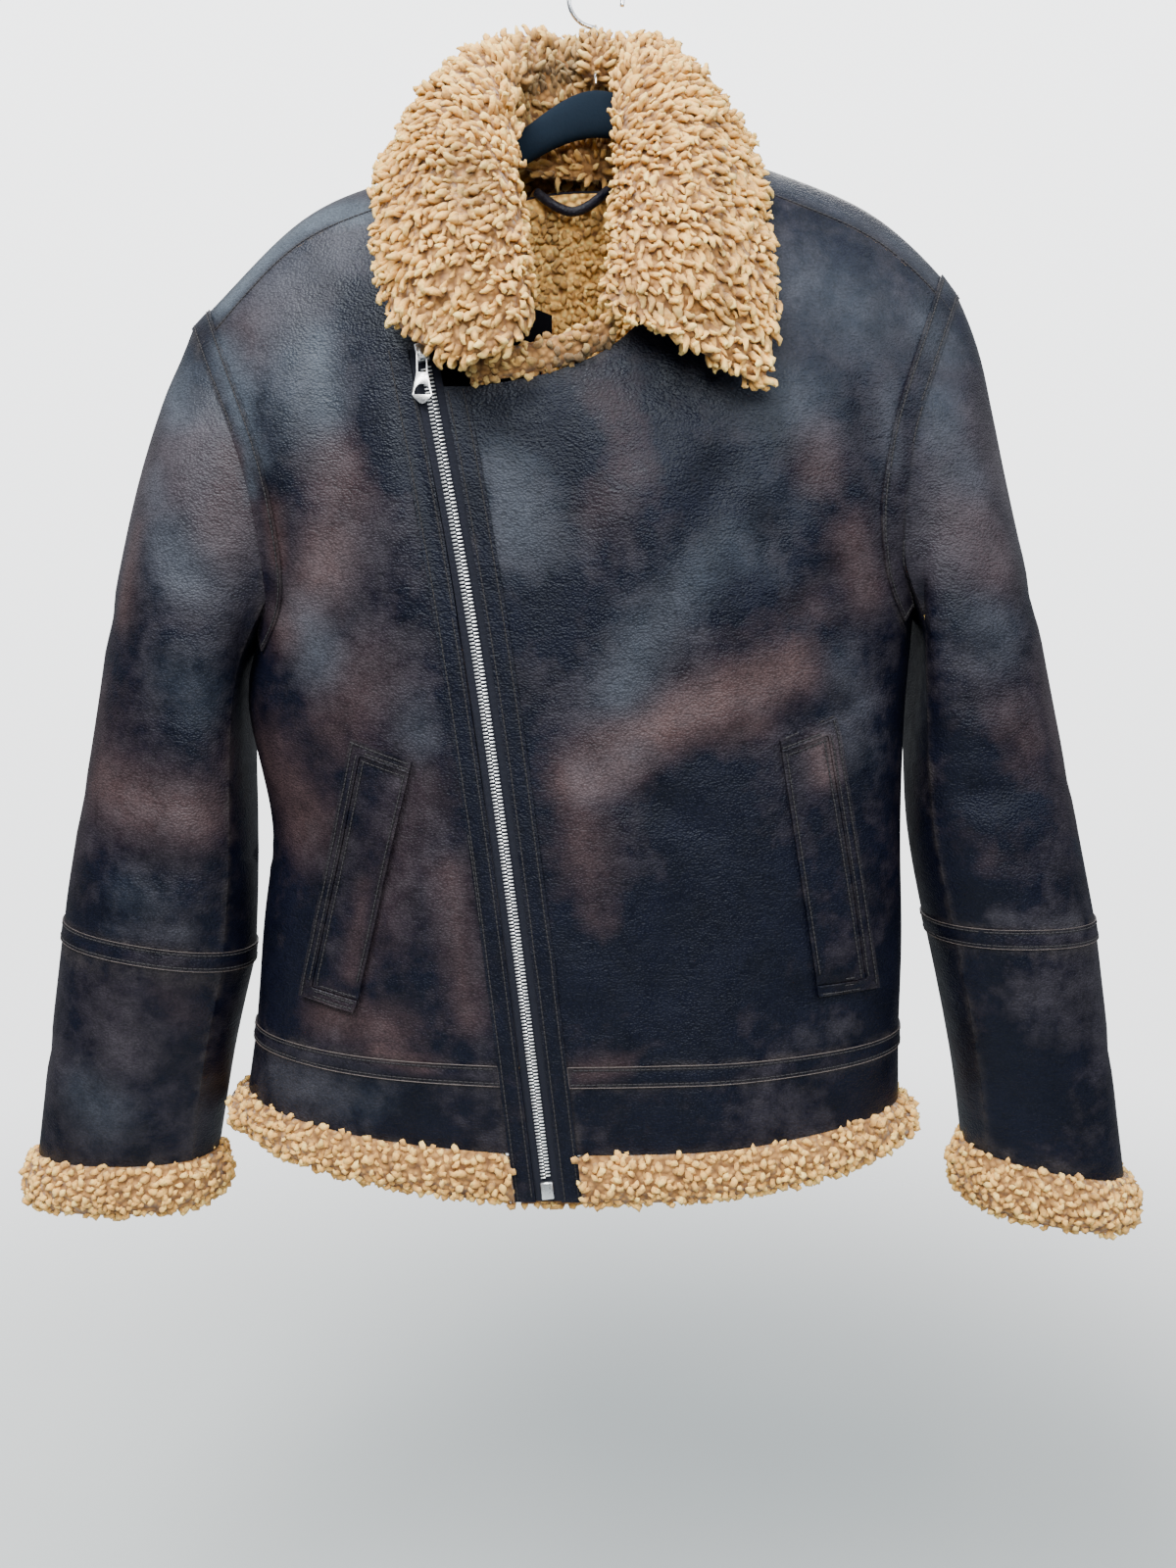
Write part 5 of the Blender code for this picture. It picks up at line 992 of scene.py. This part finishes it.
def pileTree(name, curl, setup):
    tree, came, gone = newTree(name)
    points = add(tree, "GeometryNodeDistributePointsOnFaces",
                 {"Mesh": came.outputs[0], "Distance Min": setup["pitch"], "Density Max": 90000.0,
                  "Density Factor": named(tree, "shown", "FLOAT"), "Seed": setup["seed"]},
                 distribute_method="POISSON")
    normal = points.outputs["Normal"]
    spot = add(tree, "GeometryNodeInputPosition")
    swirl = add(tree, "ShaderNodeTexNoise",
                {"Vector": spot.outputs[0], "Scale": setup["clump"], "Detail": 1.0})
    lowest = -setup["sink"] - setup["relief"] / 2
    relief = sums(tree, "MULTIPLY_ADD", swirl.outputs["Fac"], setup["relief"], lowest)
    sunk = vectors(tree, "SCALE", normal, relief)
    lowered = add(tree, "GeometryNodeSetPosition", {"Geometry": points.outputs["Points"], "Offset": sunk})
    comb = named(tree, "comb", "FLOAT_VECTOR")
    both = vectors(tree, "ADD", vectors(tree, "SCALE", normal, setup["stand"]),
                   vectors(tree, "SCALE", comb, setup["lean"]))
    loose = setup["loose"]
    seed = setup["seed"]
    stray = add(tree, "FunctionNodeRandomValue", {0: (-loose,) * 3, 1: (loose,) * 3, "Seed": seed + 1},
                data_type="FLOAT_VECTOR")
    centred = vectors(tree, "SUBTRACT", swirl.outputs["Color"], (0.5, 0.5, 0.5))
    tufted = vectors(tree, "ADD", both, vectors(tree, "SCALE", centred, setup["together"]))
    heading = vectors(tree, "ADD", tufted, stray.outputs[0])
    standing = add(tree, "FunctionNodeAlignRotationToVector", {"Vector": heading}, axis="Z")
    bent = add(tree, "FunctionNodeAlignRotationToVector", {"Rotation": standing.outputs[0], "Vector": comb},
               axis="X", pivot_axis="Z")
    spin = add(tree, "FunctionNodeRandomValue", {2: -setup["spin"], 3: setup["spin"], "Seed": seed + 2},
               data_type="FLOAT")
    about = add(tree, "ShaderNodeCombineXYZ", {"Z": spin.outputs[1]})
    spun = add(tree, "FunctionNodeEulerToRotation", {"Euler": about.outputs[0]})
    turned = add(tree, "FunctionNodeRotateRotation",
                 {"Rotation": bent.outputs[0], "Rotate By": spun.outputs[0]}, rotation_space="LOCAL")
    least, most = setup["size"]
    size = add(tree, "FunctionNodeRandomValue", {2: least, 3: most, "Seed": seed + 3}, data_type="FLOAT")
    source = add(tree, "GeometryNodeObjectInfo", {"Object": curl})
    placed = add(tree, "GeometryNodeInstanceOnPoints",
                 {"Points": lowered.outputs[0], "Instance": source.outputs["Geometry"],
                  "Rotation": turned.outputs[0], "Scale": size.outputs[1]})
    tint = add(tree, "FunctionNodeRandomValue", {"Seed": seed + 4}, data_type="FLOAT")
    marked = add(tree, "GeometryNodeStoreNamedAttribute",
                 {"Geometry": placed.outputs[0], "Name": "shade", "Value": tint.outputs[1]},
                 data_type="FLOAT", domain="INSTANCE")
    real = add(tree, "GeometryNodeRealizeInstances", {"Geometry": marked.outputs[0]})
    here = add(tree, "GeometryNodeInputPosition")
    crimp = add(tree, "ShaderNodeTexNoise",
                {"Vector": here.outputs[0], "Scale": setup["crimp"], "Detail": 1.0})
    aside = vectors(tree, "SUBTRACT", crimp.outputs["Color"], (0.5, 0.5, 0.5))
    wavy = vectors(tree, "SCALE", aside, setup["wave"])
    curled = add(tree, "GeometryNodeSetPosition", {"Geometry": real.outputs[0], "Offset": wavy})
    tree.links.new(curled.outputs[0], gone.inputs[0])
    return tree


def openShare(points, normals):
    # how much of the room in front of each point is free of the coat
    share = np.zeros(len(points))
    ways = [(0, 0), (0.7, 0), (-0.7, 0), (0, 0.7), (0, -0.7),
            (1.3, 1.3), (-1.3, 1.3), (1.3, -1.3), (-1.3, -1.3)]
    for k in range(len(points)):
        normal = Vector(normals[k])
        aside = normal.orthogonal().normalized()
        across = normal.cross(aside)
        start = Vector(points[k]) + normal * openness["start"]
        free = 0
        for a, b in ways:
            way = (normal + aside * a + across * b).normalized()
            if allTree.ray_cast(start, way, openness["far"])[0] is None:
                free += 1
        share[k] = free / len(ways)
    return share


def combAway(points, normals, centre):
    return points - np.array(centre)


def combDown(points, normals, centre):
    way = np.zeros_like(points)
    way[:, 2] = -1
    return way


def flatten(way, normals):
    way = way - normals * (way * normals).sum(1)[:, None]
    return way / np.maximum(np.linalg.norm(way, axis=1), 1e-6)[:, None]


# the way of the zip's pull when it is lifted, kept free of curls
pullSweep = np.array([(-0.1114, -0.0930, -0.2600), (-0.1114, -0.1250, -0.2770)])


def growPile(name, ground, curl, setup, comb, centre=None, shown=None):
    points = pointsOf(ground)
    normals = normalsOf(ground)
    rows = newPiece(name, ground.data.copy())
    keep(rows.data, "comb", flatten(comb(points, normals, centre), normals), "FLOAT_VECTOR")
    free = openShare(points, normals) if shown is None else shown(points, normals)
    fromPull = nearestOnLine(points, pullSweep)[1]
    least = openness["collar" if name.startswith("collar") else "other"]
    keep(rows.data, "shown", ((free > least) & (fromPull > pullClear)).astype(float))
    runTree(rows, pileTree(name + "_tree", curl, setup))
    # painted shade on the curls where the pile lies in shadow
    keep(rows.data, "paintedShade", shadowOf(pointsOf(rows)))
    triangles = sum(len(f.vertices) - 2 for f in rows.data.polygons)
    print(name, "has", triangles, "triangles")
    handOver(rows)
    return rows


def pileGround(node, levels, sink):
    # the ground under the curls: the solid's form, a little smaller, in dark browns as painted shade between
    # the curls
    ground = shellOf(node, node + "_ground", levels, 60, 0.4)
    drape(node, ground)
    normals = normalsOf(ground)
    points = pointsOf(ground)
    if node.startswith(("hem", "cuff")):
        normals[:, 2] = np.minimum(normals[:, 2], 0)  # the seam under the leather stays closed
    if node.startswith("hem"):
        normals[np.abs(normals[:, 0]) > 0.8] *= -0.0004 / sink  # and so do the ends
    points = points - normals * sink
    move(ground, points)
    ground.data.materials.append(pileGroundPaintedShade)
    pick(ground)
    bpy.ops.object.shade_smooth()
    handOver(ground, node)
    return ground


combed = {"pitch": 0.0037, "sink": 0.0006, "stand": 0.66, "lean": 0.80, "loose": 0.42, "spin": 1.6,
          "size": (0.75, 1.40), "seed": 11, "clump": 85.0, "relief": 0.0046, "together": 2.6,
          "crimp": 260.0, "wave": 0.0042}
rounded = {"pitch": 0.0037, "sink": 0.0014, "stand": 0.90, "lean": 0.35, "loose": 0.35, "spin": 3.1,
           "size": (0.80, 1.30), "seed": 31, "clump": 95.0, "relief": 0.0030, "together": 2.0,
           "crimp": 260.0, "wave": 0.0042}
# pile pieces: levels, sink, cut width and length, kind of curl, comb, centre to comb away from
pilePieces = {
    "collar": (2, 0.0018, 0.72, 0.17, combedCurl, combed, combAway, (0.0, -0.035, -0.13)),
    "neck_edge_fur": (3, 0.0022, 0.105, 0.026, roundCurl, rounded, combDown, None),
    "hem_fur_right": (2, 0.0035, 0.24, 0.052, roundCurl, rounded, combDown, None),
    "hem_fur_left": (2, 0.0035, 0.29, 0.052, roundCurl, rounded, combDown, None),
    "hem_fur_back": (2, 0.0035, 0.57, 0.050, roundCurl, rounded, combDown, None),
    "cuff_fur_right": (2, 0.0035, 0.38, 0.050, roundCurl, rounded, combDown, None),
    "cuff_fur_left": (2, 0.0035, 0.38, 0.050, roundCurl, rounded, combDown, None),
    "zip_fur_backing": (2, 0.0022, 0.052, 0.052, roundCurl, rounded, combDown, None),
}


def everywhere(points, normals):
    return np.ones(len(points))


for order, (node, (levels, sink, width, length, curl, look, comb, centre)) in enumerate(pilePieces.items()):
    ground = pileGround(node, levels, sink)
    setup = dict(look, seed=look["seed"] + order * 7)
    shown = everywhere if node == "neck_edge_fur" else None
    grown = growPile(node + "_curls", ground, curl, setup, comb, centre, shown)


def insideNeck(points, normals):
    facing = (normals * awayFromInside("back", points)).sum(1) < -0.3
    near = (points[:, 2] > -0.30) & (np.abs(points[:, 0]) < 0.10)
    return (facing & near).astype(float)


# the pile closes over the hook's foot where it is pushed apart
parting = {"place": (0.001, 0.009, -0.053), "size": (0.013, 0.014, 0.017)}
bpy.ops.mesh.primitive_uv_sphere_add(segments=16, ring_count=10, radius=1, location=parting["place"])
tuft = bpy.context.object
tuft.name = "hook_tuft_ground"
tuft.scale = parting["size"]
bpy.ops.object.transform_apply(location=True, rotation=True, scale=True)
bpy.ops.object.shade_smooth()
tuft.data.materials.append(pileGroundPaintedShade)
handOver(tuft)
growPile("hook_tuft_curls", tuft, combedCurl, dict(combed, seed=77), combAway, (0.0, -0.03, -0.11),
         everywhere)

backLeather = bpy.data.objects["back_leather"]
growPile("neck_lining_curls", backLeather, roundCurl, dict(rounded, seed=91), combDown, None, insideNeck)
print("pile is grown")


tooth = {"long": 0.0034, "thick": 0.0009, "high": 0.0019, "pitch": 0.00250, "rise": 0.0006, "start": 0.0001}
zipLine = [(-0.2300, -0.1190), (-0.2957, -0.1052), (-0.4501, -0.0796), (-0.6376, -0.0557), (-0.8500, -0.0318)]


def modelTooth():
    # a tooth: a bevelled bar across the tape with a wider head at the middle
    bpy.ops.mesh.primitive_cube_add(size=1)
    made = bpy.context.object
    made.name = "one_tooth"
    made.scale = (tooth["long"], tooth["thick"], tooth["high"])
    bpy.ops.object.transform_apply(location=True, rotation=True, scale=True)
    bpy.ops.object.mode_set(mode="EDIT")
    bpy.ops.mesh.select_all(action="SELECT")
    bpy.ops.mesh.bevel(offset=0.0003, segments=1)
    bpy.ops.object.mode_set(mode="OBJECT")
    for v in made.data.vertices:
        if v.co.x < -tooth["long"] * 0.25:
            v.co.y *= 1.25
        if v.co.x > tooth["long"] * 0.25:
            v.co.z *= 0.8
    made.data.materials.append(silver)
    bpy.ops.object.shade_smooth_by_angle(angle=math.radians(35))
    return made


def zipPath():
    zs = np.linspace(-0.2745, -0.8240, 400)
    line = smoothLine([(x, z, 0) for z, x in zipLine], 12)
    xs = np.interp(-zs, -line[:, 1], line[:, 0])
    chain = treeOf(["zip_chain"])
    path = []
    for x, z in zip(xs, zs):
        hit, normal, _, _ = chain.ray_cast(Vector((x, -1, z)), Vector((0, 1, 0)))
        if hit is not None:
            path.append((np.array(hit), np.array(normal)))
    places = np.array([p for p, _ in path])
    normals = np.array([n for _, n in path])
    for _ in range(12):
        places[1:-1, 1] = (places[:-2, 1] + places[2:, 1]) / 2
        normals[1:-1] = (normals[:-2] + normals[1:-1] + normals[2:]) / 3
    lift = creaseHeight(places)
    return places + normals * lift[:, None], normals


oneTooth = modelTooth()
places, normals = zipPath()
run = np.concatenate([[0], np.cumsum(np.linalg.norm(np.diff(places, axis=0), axis=1))])
teeth = []
count = int(run[-1] / tooth["pitch"] * 2)
for k in range(count):
    at = k * tooth["pitch"] / 2
    spot = Vector([np.interp(at, run, places[:, i]) for i in range(3)])
    upright = Vector([np.interp(at, run, normals[:, i]) for i in range(3)]).normalized()
    ahead = Vector([np.interp(at + 0.002, run, places[:, i]) for i in range(3)])
    behind = Vector([np.interp(at - 0.002, run, places[:, i]) for i in range(3)])
    across = (ahead - behind).normalized().cross(upright).normalized()
    side = across if k % 2 else -across
    spot = spot - upright * tooth["rise"] + side * (tooth["long"] / 2 + tooth["start"])
    teeth.append((spot, upright, side))
chainPiece = copiesAt("zip_teeth", oneTooth, teeth)
handOver(chainPiece, "zip_chain")


def laidGrid(name, table, thick, material):
    # a strip of wall laid through rows of places
    bpy.ops.mesh.primitive_grid_add(x_subdivisions=len(table[0]) - 1, y_subdivisions=len(table) - 1, size=1)
    piece = bpy.context.object
    piece.name = name
    move(piece, np.array([p for row in table for p in row], float))
    wall = piece.modifiers.new("wall", "SOLIDIFY")
    wall.thickness = thick
    wall.offset = 0
    bpy.ops.object.modifier_apply(modifier="wall")
    bpy.ops.object.mode_set(mode="EDIT")
    bpy.ops.mesh.select_all(action="SELECT")
    bpy.ops.mesh.normals_make_consistent(inside=False)
    bpy.ops.object.mode_set(mode="OBJECT")
    piece.data.materials.append(material)
    handOver(piece)
    return piece


# the tapes' beaded edges meet under the teeth
core = {"half": 0.0034, "sink": 0.0015, "crown": 0.0003, "thick": 0.0004, "step": 4}
bead = []
for k in range(0, len(places), core["step"]):
    after = min(k + core["step"], len(places) - 1)
    ahead = Vector(places[after] - places[max(k - core["step"], 0)]).normalized()
    upright = Vector(normals[k]).normalized()
    across = ahead.cross(upright).normalized() * core["half"]
    middle = Vector(places[k]) - upright * core["sink"]
    bead.append((middle - across, middle + upright * core["crown"], middle + across))
zipCore = laidGrid("zip_core", bead, core["thick"], tapeCloth)

for side in ("right", "left"):
    node = "zip_tape_" + side
    piece = shellOf(node, node + "_cloth", 2)
    drape(node, piece)
    wallFinish(node, piece, tapeCloth, tapeCloth)
    handOver(piece, node)
print("zip teeth and tapes are laid")


# the underlap of the right front, a near-black sheet as painted shade, seen beside the zip's top and through
# the gap at the neck
underlap = {"across": (446, 470, 500, 530, 563), "top": (350, 342, 330, 309, 322),
            "foot": (408, 408, 406, 396, 380), "depth": (-0.088, -0.086, -0.082, -0.076, -0.070),
            "thick": 0.0012}
lapRows = []
for share in (0.0, 0.5, 1.0):
    row = []
    for a, b, c, depth in zip(underlap["across"], underlap["top"], underlap["foot"], underlap["depth"]):
        heading = throughPixel(a, b + (c - b) * share)
        row.append(Vector(view["place"]) + heading * ((depth - view["place"][1]) / heading.y))
    lapRows.append(row)
lap = laidGrid("neck_underlap", lapRows, underlap["thick"], underlapPaintedShade)


def hardPiece(node, name, material, bevel, segments, body):
    piece = shellOf(node, name, 0)
    if bevel:
        edge = piece.modifiers.new("edge", "BEVEL")
        edge.width = bevel
        edge.segments = segments
        edge.limit_method = "ANGLE"
        edge.angle_limit = math.radians(40)
        bpy.ops.object.modifier_apply(modifier="edge")
    piece.data.materials.append(material)
    pick(piece)
    bpy.ops.object.shade_smooth_by_angle(angle=math.radians(40))
    handOver(piece, node, body)


hardPiece("zip_slider", "zip_slider_metal", silver, 0.00035, 2, "coat")
hardPiece("zip_pull", "zip_pull_metal", silver, 0.00022, 2, "pull")
hardPiece("zip_box", "zip_box_metal", silver, 0.00035, 2, "coat")

for node, name, material, slot, levels in (
    ("hanger_hook", "hanger_hook_wire", chrome, "metal", 2),
    ("hanger", "hanger_flocked", flock, "hanger_plastic", 2),
    ("hang_loop", "hang_loop_leather", trimLeather, "leather", 2),
):
    piece = shellOf(node, name, levels, 60, 0.6)
    if node == "hang_loop":
        move(piece, pointsOf(piece) + normalsOf(piece) * 0.0014)
    piece.data.materials.append(material)
    pick(piece)
    bpy.ops.object.shade_smooth()
    handOver(piece, node)
print("metal, loop and hanger are made")

for spare in (oneStitch, combedCurl, roundCurl, oneTooth):
    bpy.data.objects.remove(spare)


floorHeight = -1.35
bpy.ops.mesh.primitive_plane_add(size=40, location=(0, 0, floorHeight))
floor = bpy.context.object
floor.name = "pale_floor"
bpy.ops.object.transform_apply(location=True, rotation=True, scale=True)
floorPaint = plainMaterial("pale_floor_paint", (0.49, 0.52, 0.52, 1), (0.52, 0.55, 0.55, 1), 3.0, 0.8, 0.0004)
floorTree = floorPaint.node_tree
# painted shade: the floor is darker towards the right
aside = add(floorTree, "ShaderNodeSeparateXYZ", {0: stretched(floorTree, (0.8, 1, 1))}).outputs["X"]
darker = ramp(floorTree, sums(floorTree, "ADD", aside, 0.5),
              [(0.0, grey(1)), (0.5, (0.70, 0.71, 0.72, 1)), (1.0, (0.64, 0.65, 0.65, 1))])
floorShader = floorTree.nodes["Principled BSDF"]
shaded = mixed(floorTree, 1.0, floorShader.inputs["Base Color"].links[0].from_socket, darker, "MULTIPLY")
floorTree.links.new(shaded, floorShader.inputs["Base Color"])
span = add(floorTree, "ShaderNodeVectorMath", {0: stretched(floorTree, (1, 1, 0))}, operation="LENGTH")
away = add(floorTree, "ShaderNodeMapRange",
           {"Value": span.outputs["Value"], "From Min": 0.4, "From Max": 1.9},
           interpolation_type="SMOOTHSTEP")
clear = add(floorTree, "ShaderNodeBsdfTransparent")
fading = add(floorTree, "ShaderNodeMixShader", {0: away.outputs["Result"], 2: clear.outputs[0]})
floorTree.links.new(floorTree.nodes["Principled BSDF"].outputs[0], fading.inputs[1])
floorTree.links.new(fading.outputs[0], floorTree.nodes["Material Output"].inputs["Surface"])
floor.data.materials.append(floorPaint)

world = bpy.data.worlds.new("pale_surroundings")
bpy.context.scene.world = world
world.use_nodes = True
wall = (0.97, 0.985, 1.0, 1)
skyTree = world.node_tree
facing = add(skyTree, "ShaderNodeTexCoord")
height = add(skyTree, "ShaderNodeSeparateXYZ", {0: facing.outputs["Generated"]}).outputs["Z"]
soft = skyTree.nodes["Background"]
soft.inputs["Color"].default_value = (0.90, 0.95, 1.0, 1)
glow = add(skyTree, "ShaderNodeMapRange",
           {"Value": height, "From Min": -0.1, "From Max": 0.7, "To Min": 0.25, "To Max": 1.25},
           interpolation_type="SMOOTHSTEP")
skyTree.links.new(glow.outputs["Result"], soft.inputs["Strength"])
# the backdrop the camera sees is darker towards the bottom, as painted shade
seen = add(skyTree, "ShaderNodeMapRange",
           {"Value": height, "From Min": -0.65, "From Max": 0.35, "To Min": 2.0, "To Max": 3.8})
bright = add(skyTree, "ShaderNodeBackground", {"Color": wall, "Strength": seen.outputs["Result"]})
path = add(skyTree, "ShaderNodeLightPath")
both = add(skyTree, "ShaderNodeMixShader", {0: path.outputs["Is Camera Ray"], 1: soft.outputs[0],
                                            2: bright.outputs[0]})
skyTree.links.new(both.outputs[0], skyTree.nodes["World Output"].inputs["Surface"])

lamps = {
    "key": ((-0.75, -1.35, 1.15), 1.1, 82.0, (1.0, 0.97, 0.93)),
    "front": ((0.20, -1.75, 0.20), 0.8, 30.0, (1.0, 0.98, 0.95)),
    "top": ((-0.35, -0.45, 1.10), 0.7, 22.0, (1.0, 0.98, 0.95)),
    "fill": ((1.4, -1.0, 0.5), 1.4, 22.0, (0.90, 0.95, 1.0)),
    "back": ((0.3, 2.0, 1.0), 1.6, 40.0, (1.0, 0.98, 0.96)),
}
for name, (place, size, power, colour) in lamps.items():
    bpy.ops.object.light_add(type="AREA", location=place)
    lamp = bpy.context.object
    lamp.name = name + "_light"
    lamp.data.shape = "DISK"
    lamp.data.size = size
    lamp.data.energy = power
    lamp.data.color = colour
    aim = Vector((0, 0, -0.45)) - Vector(place)
    lamp.rotation_euler = aim.to_track_quat("-Z", "Y").to_euler()
print("floor and lights are set")

counted = {o.name: sum(len(f.vertices) - 2 for f in o.data.polygons) for o in bpy.data.objects
           if o.type == "MESH" and not o.hide_render and o.name not in nodes and o != floor}
print("triangles:", sum(counted.values()), sorted(counted.items(), key=lambda c: -c[1])[:24])
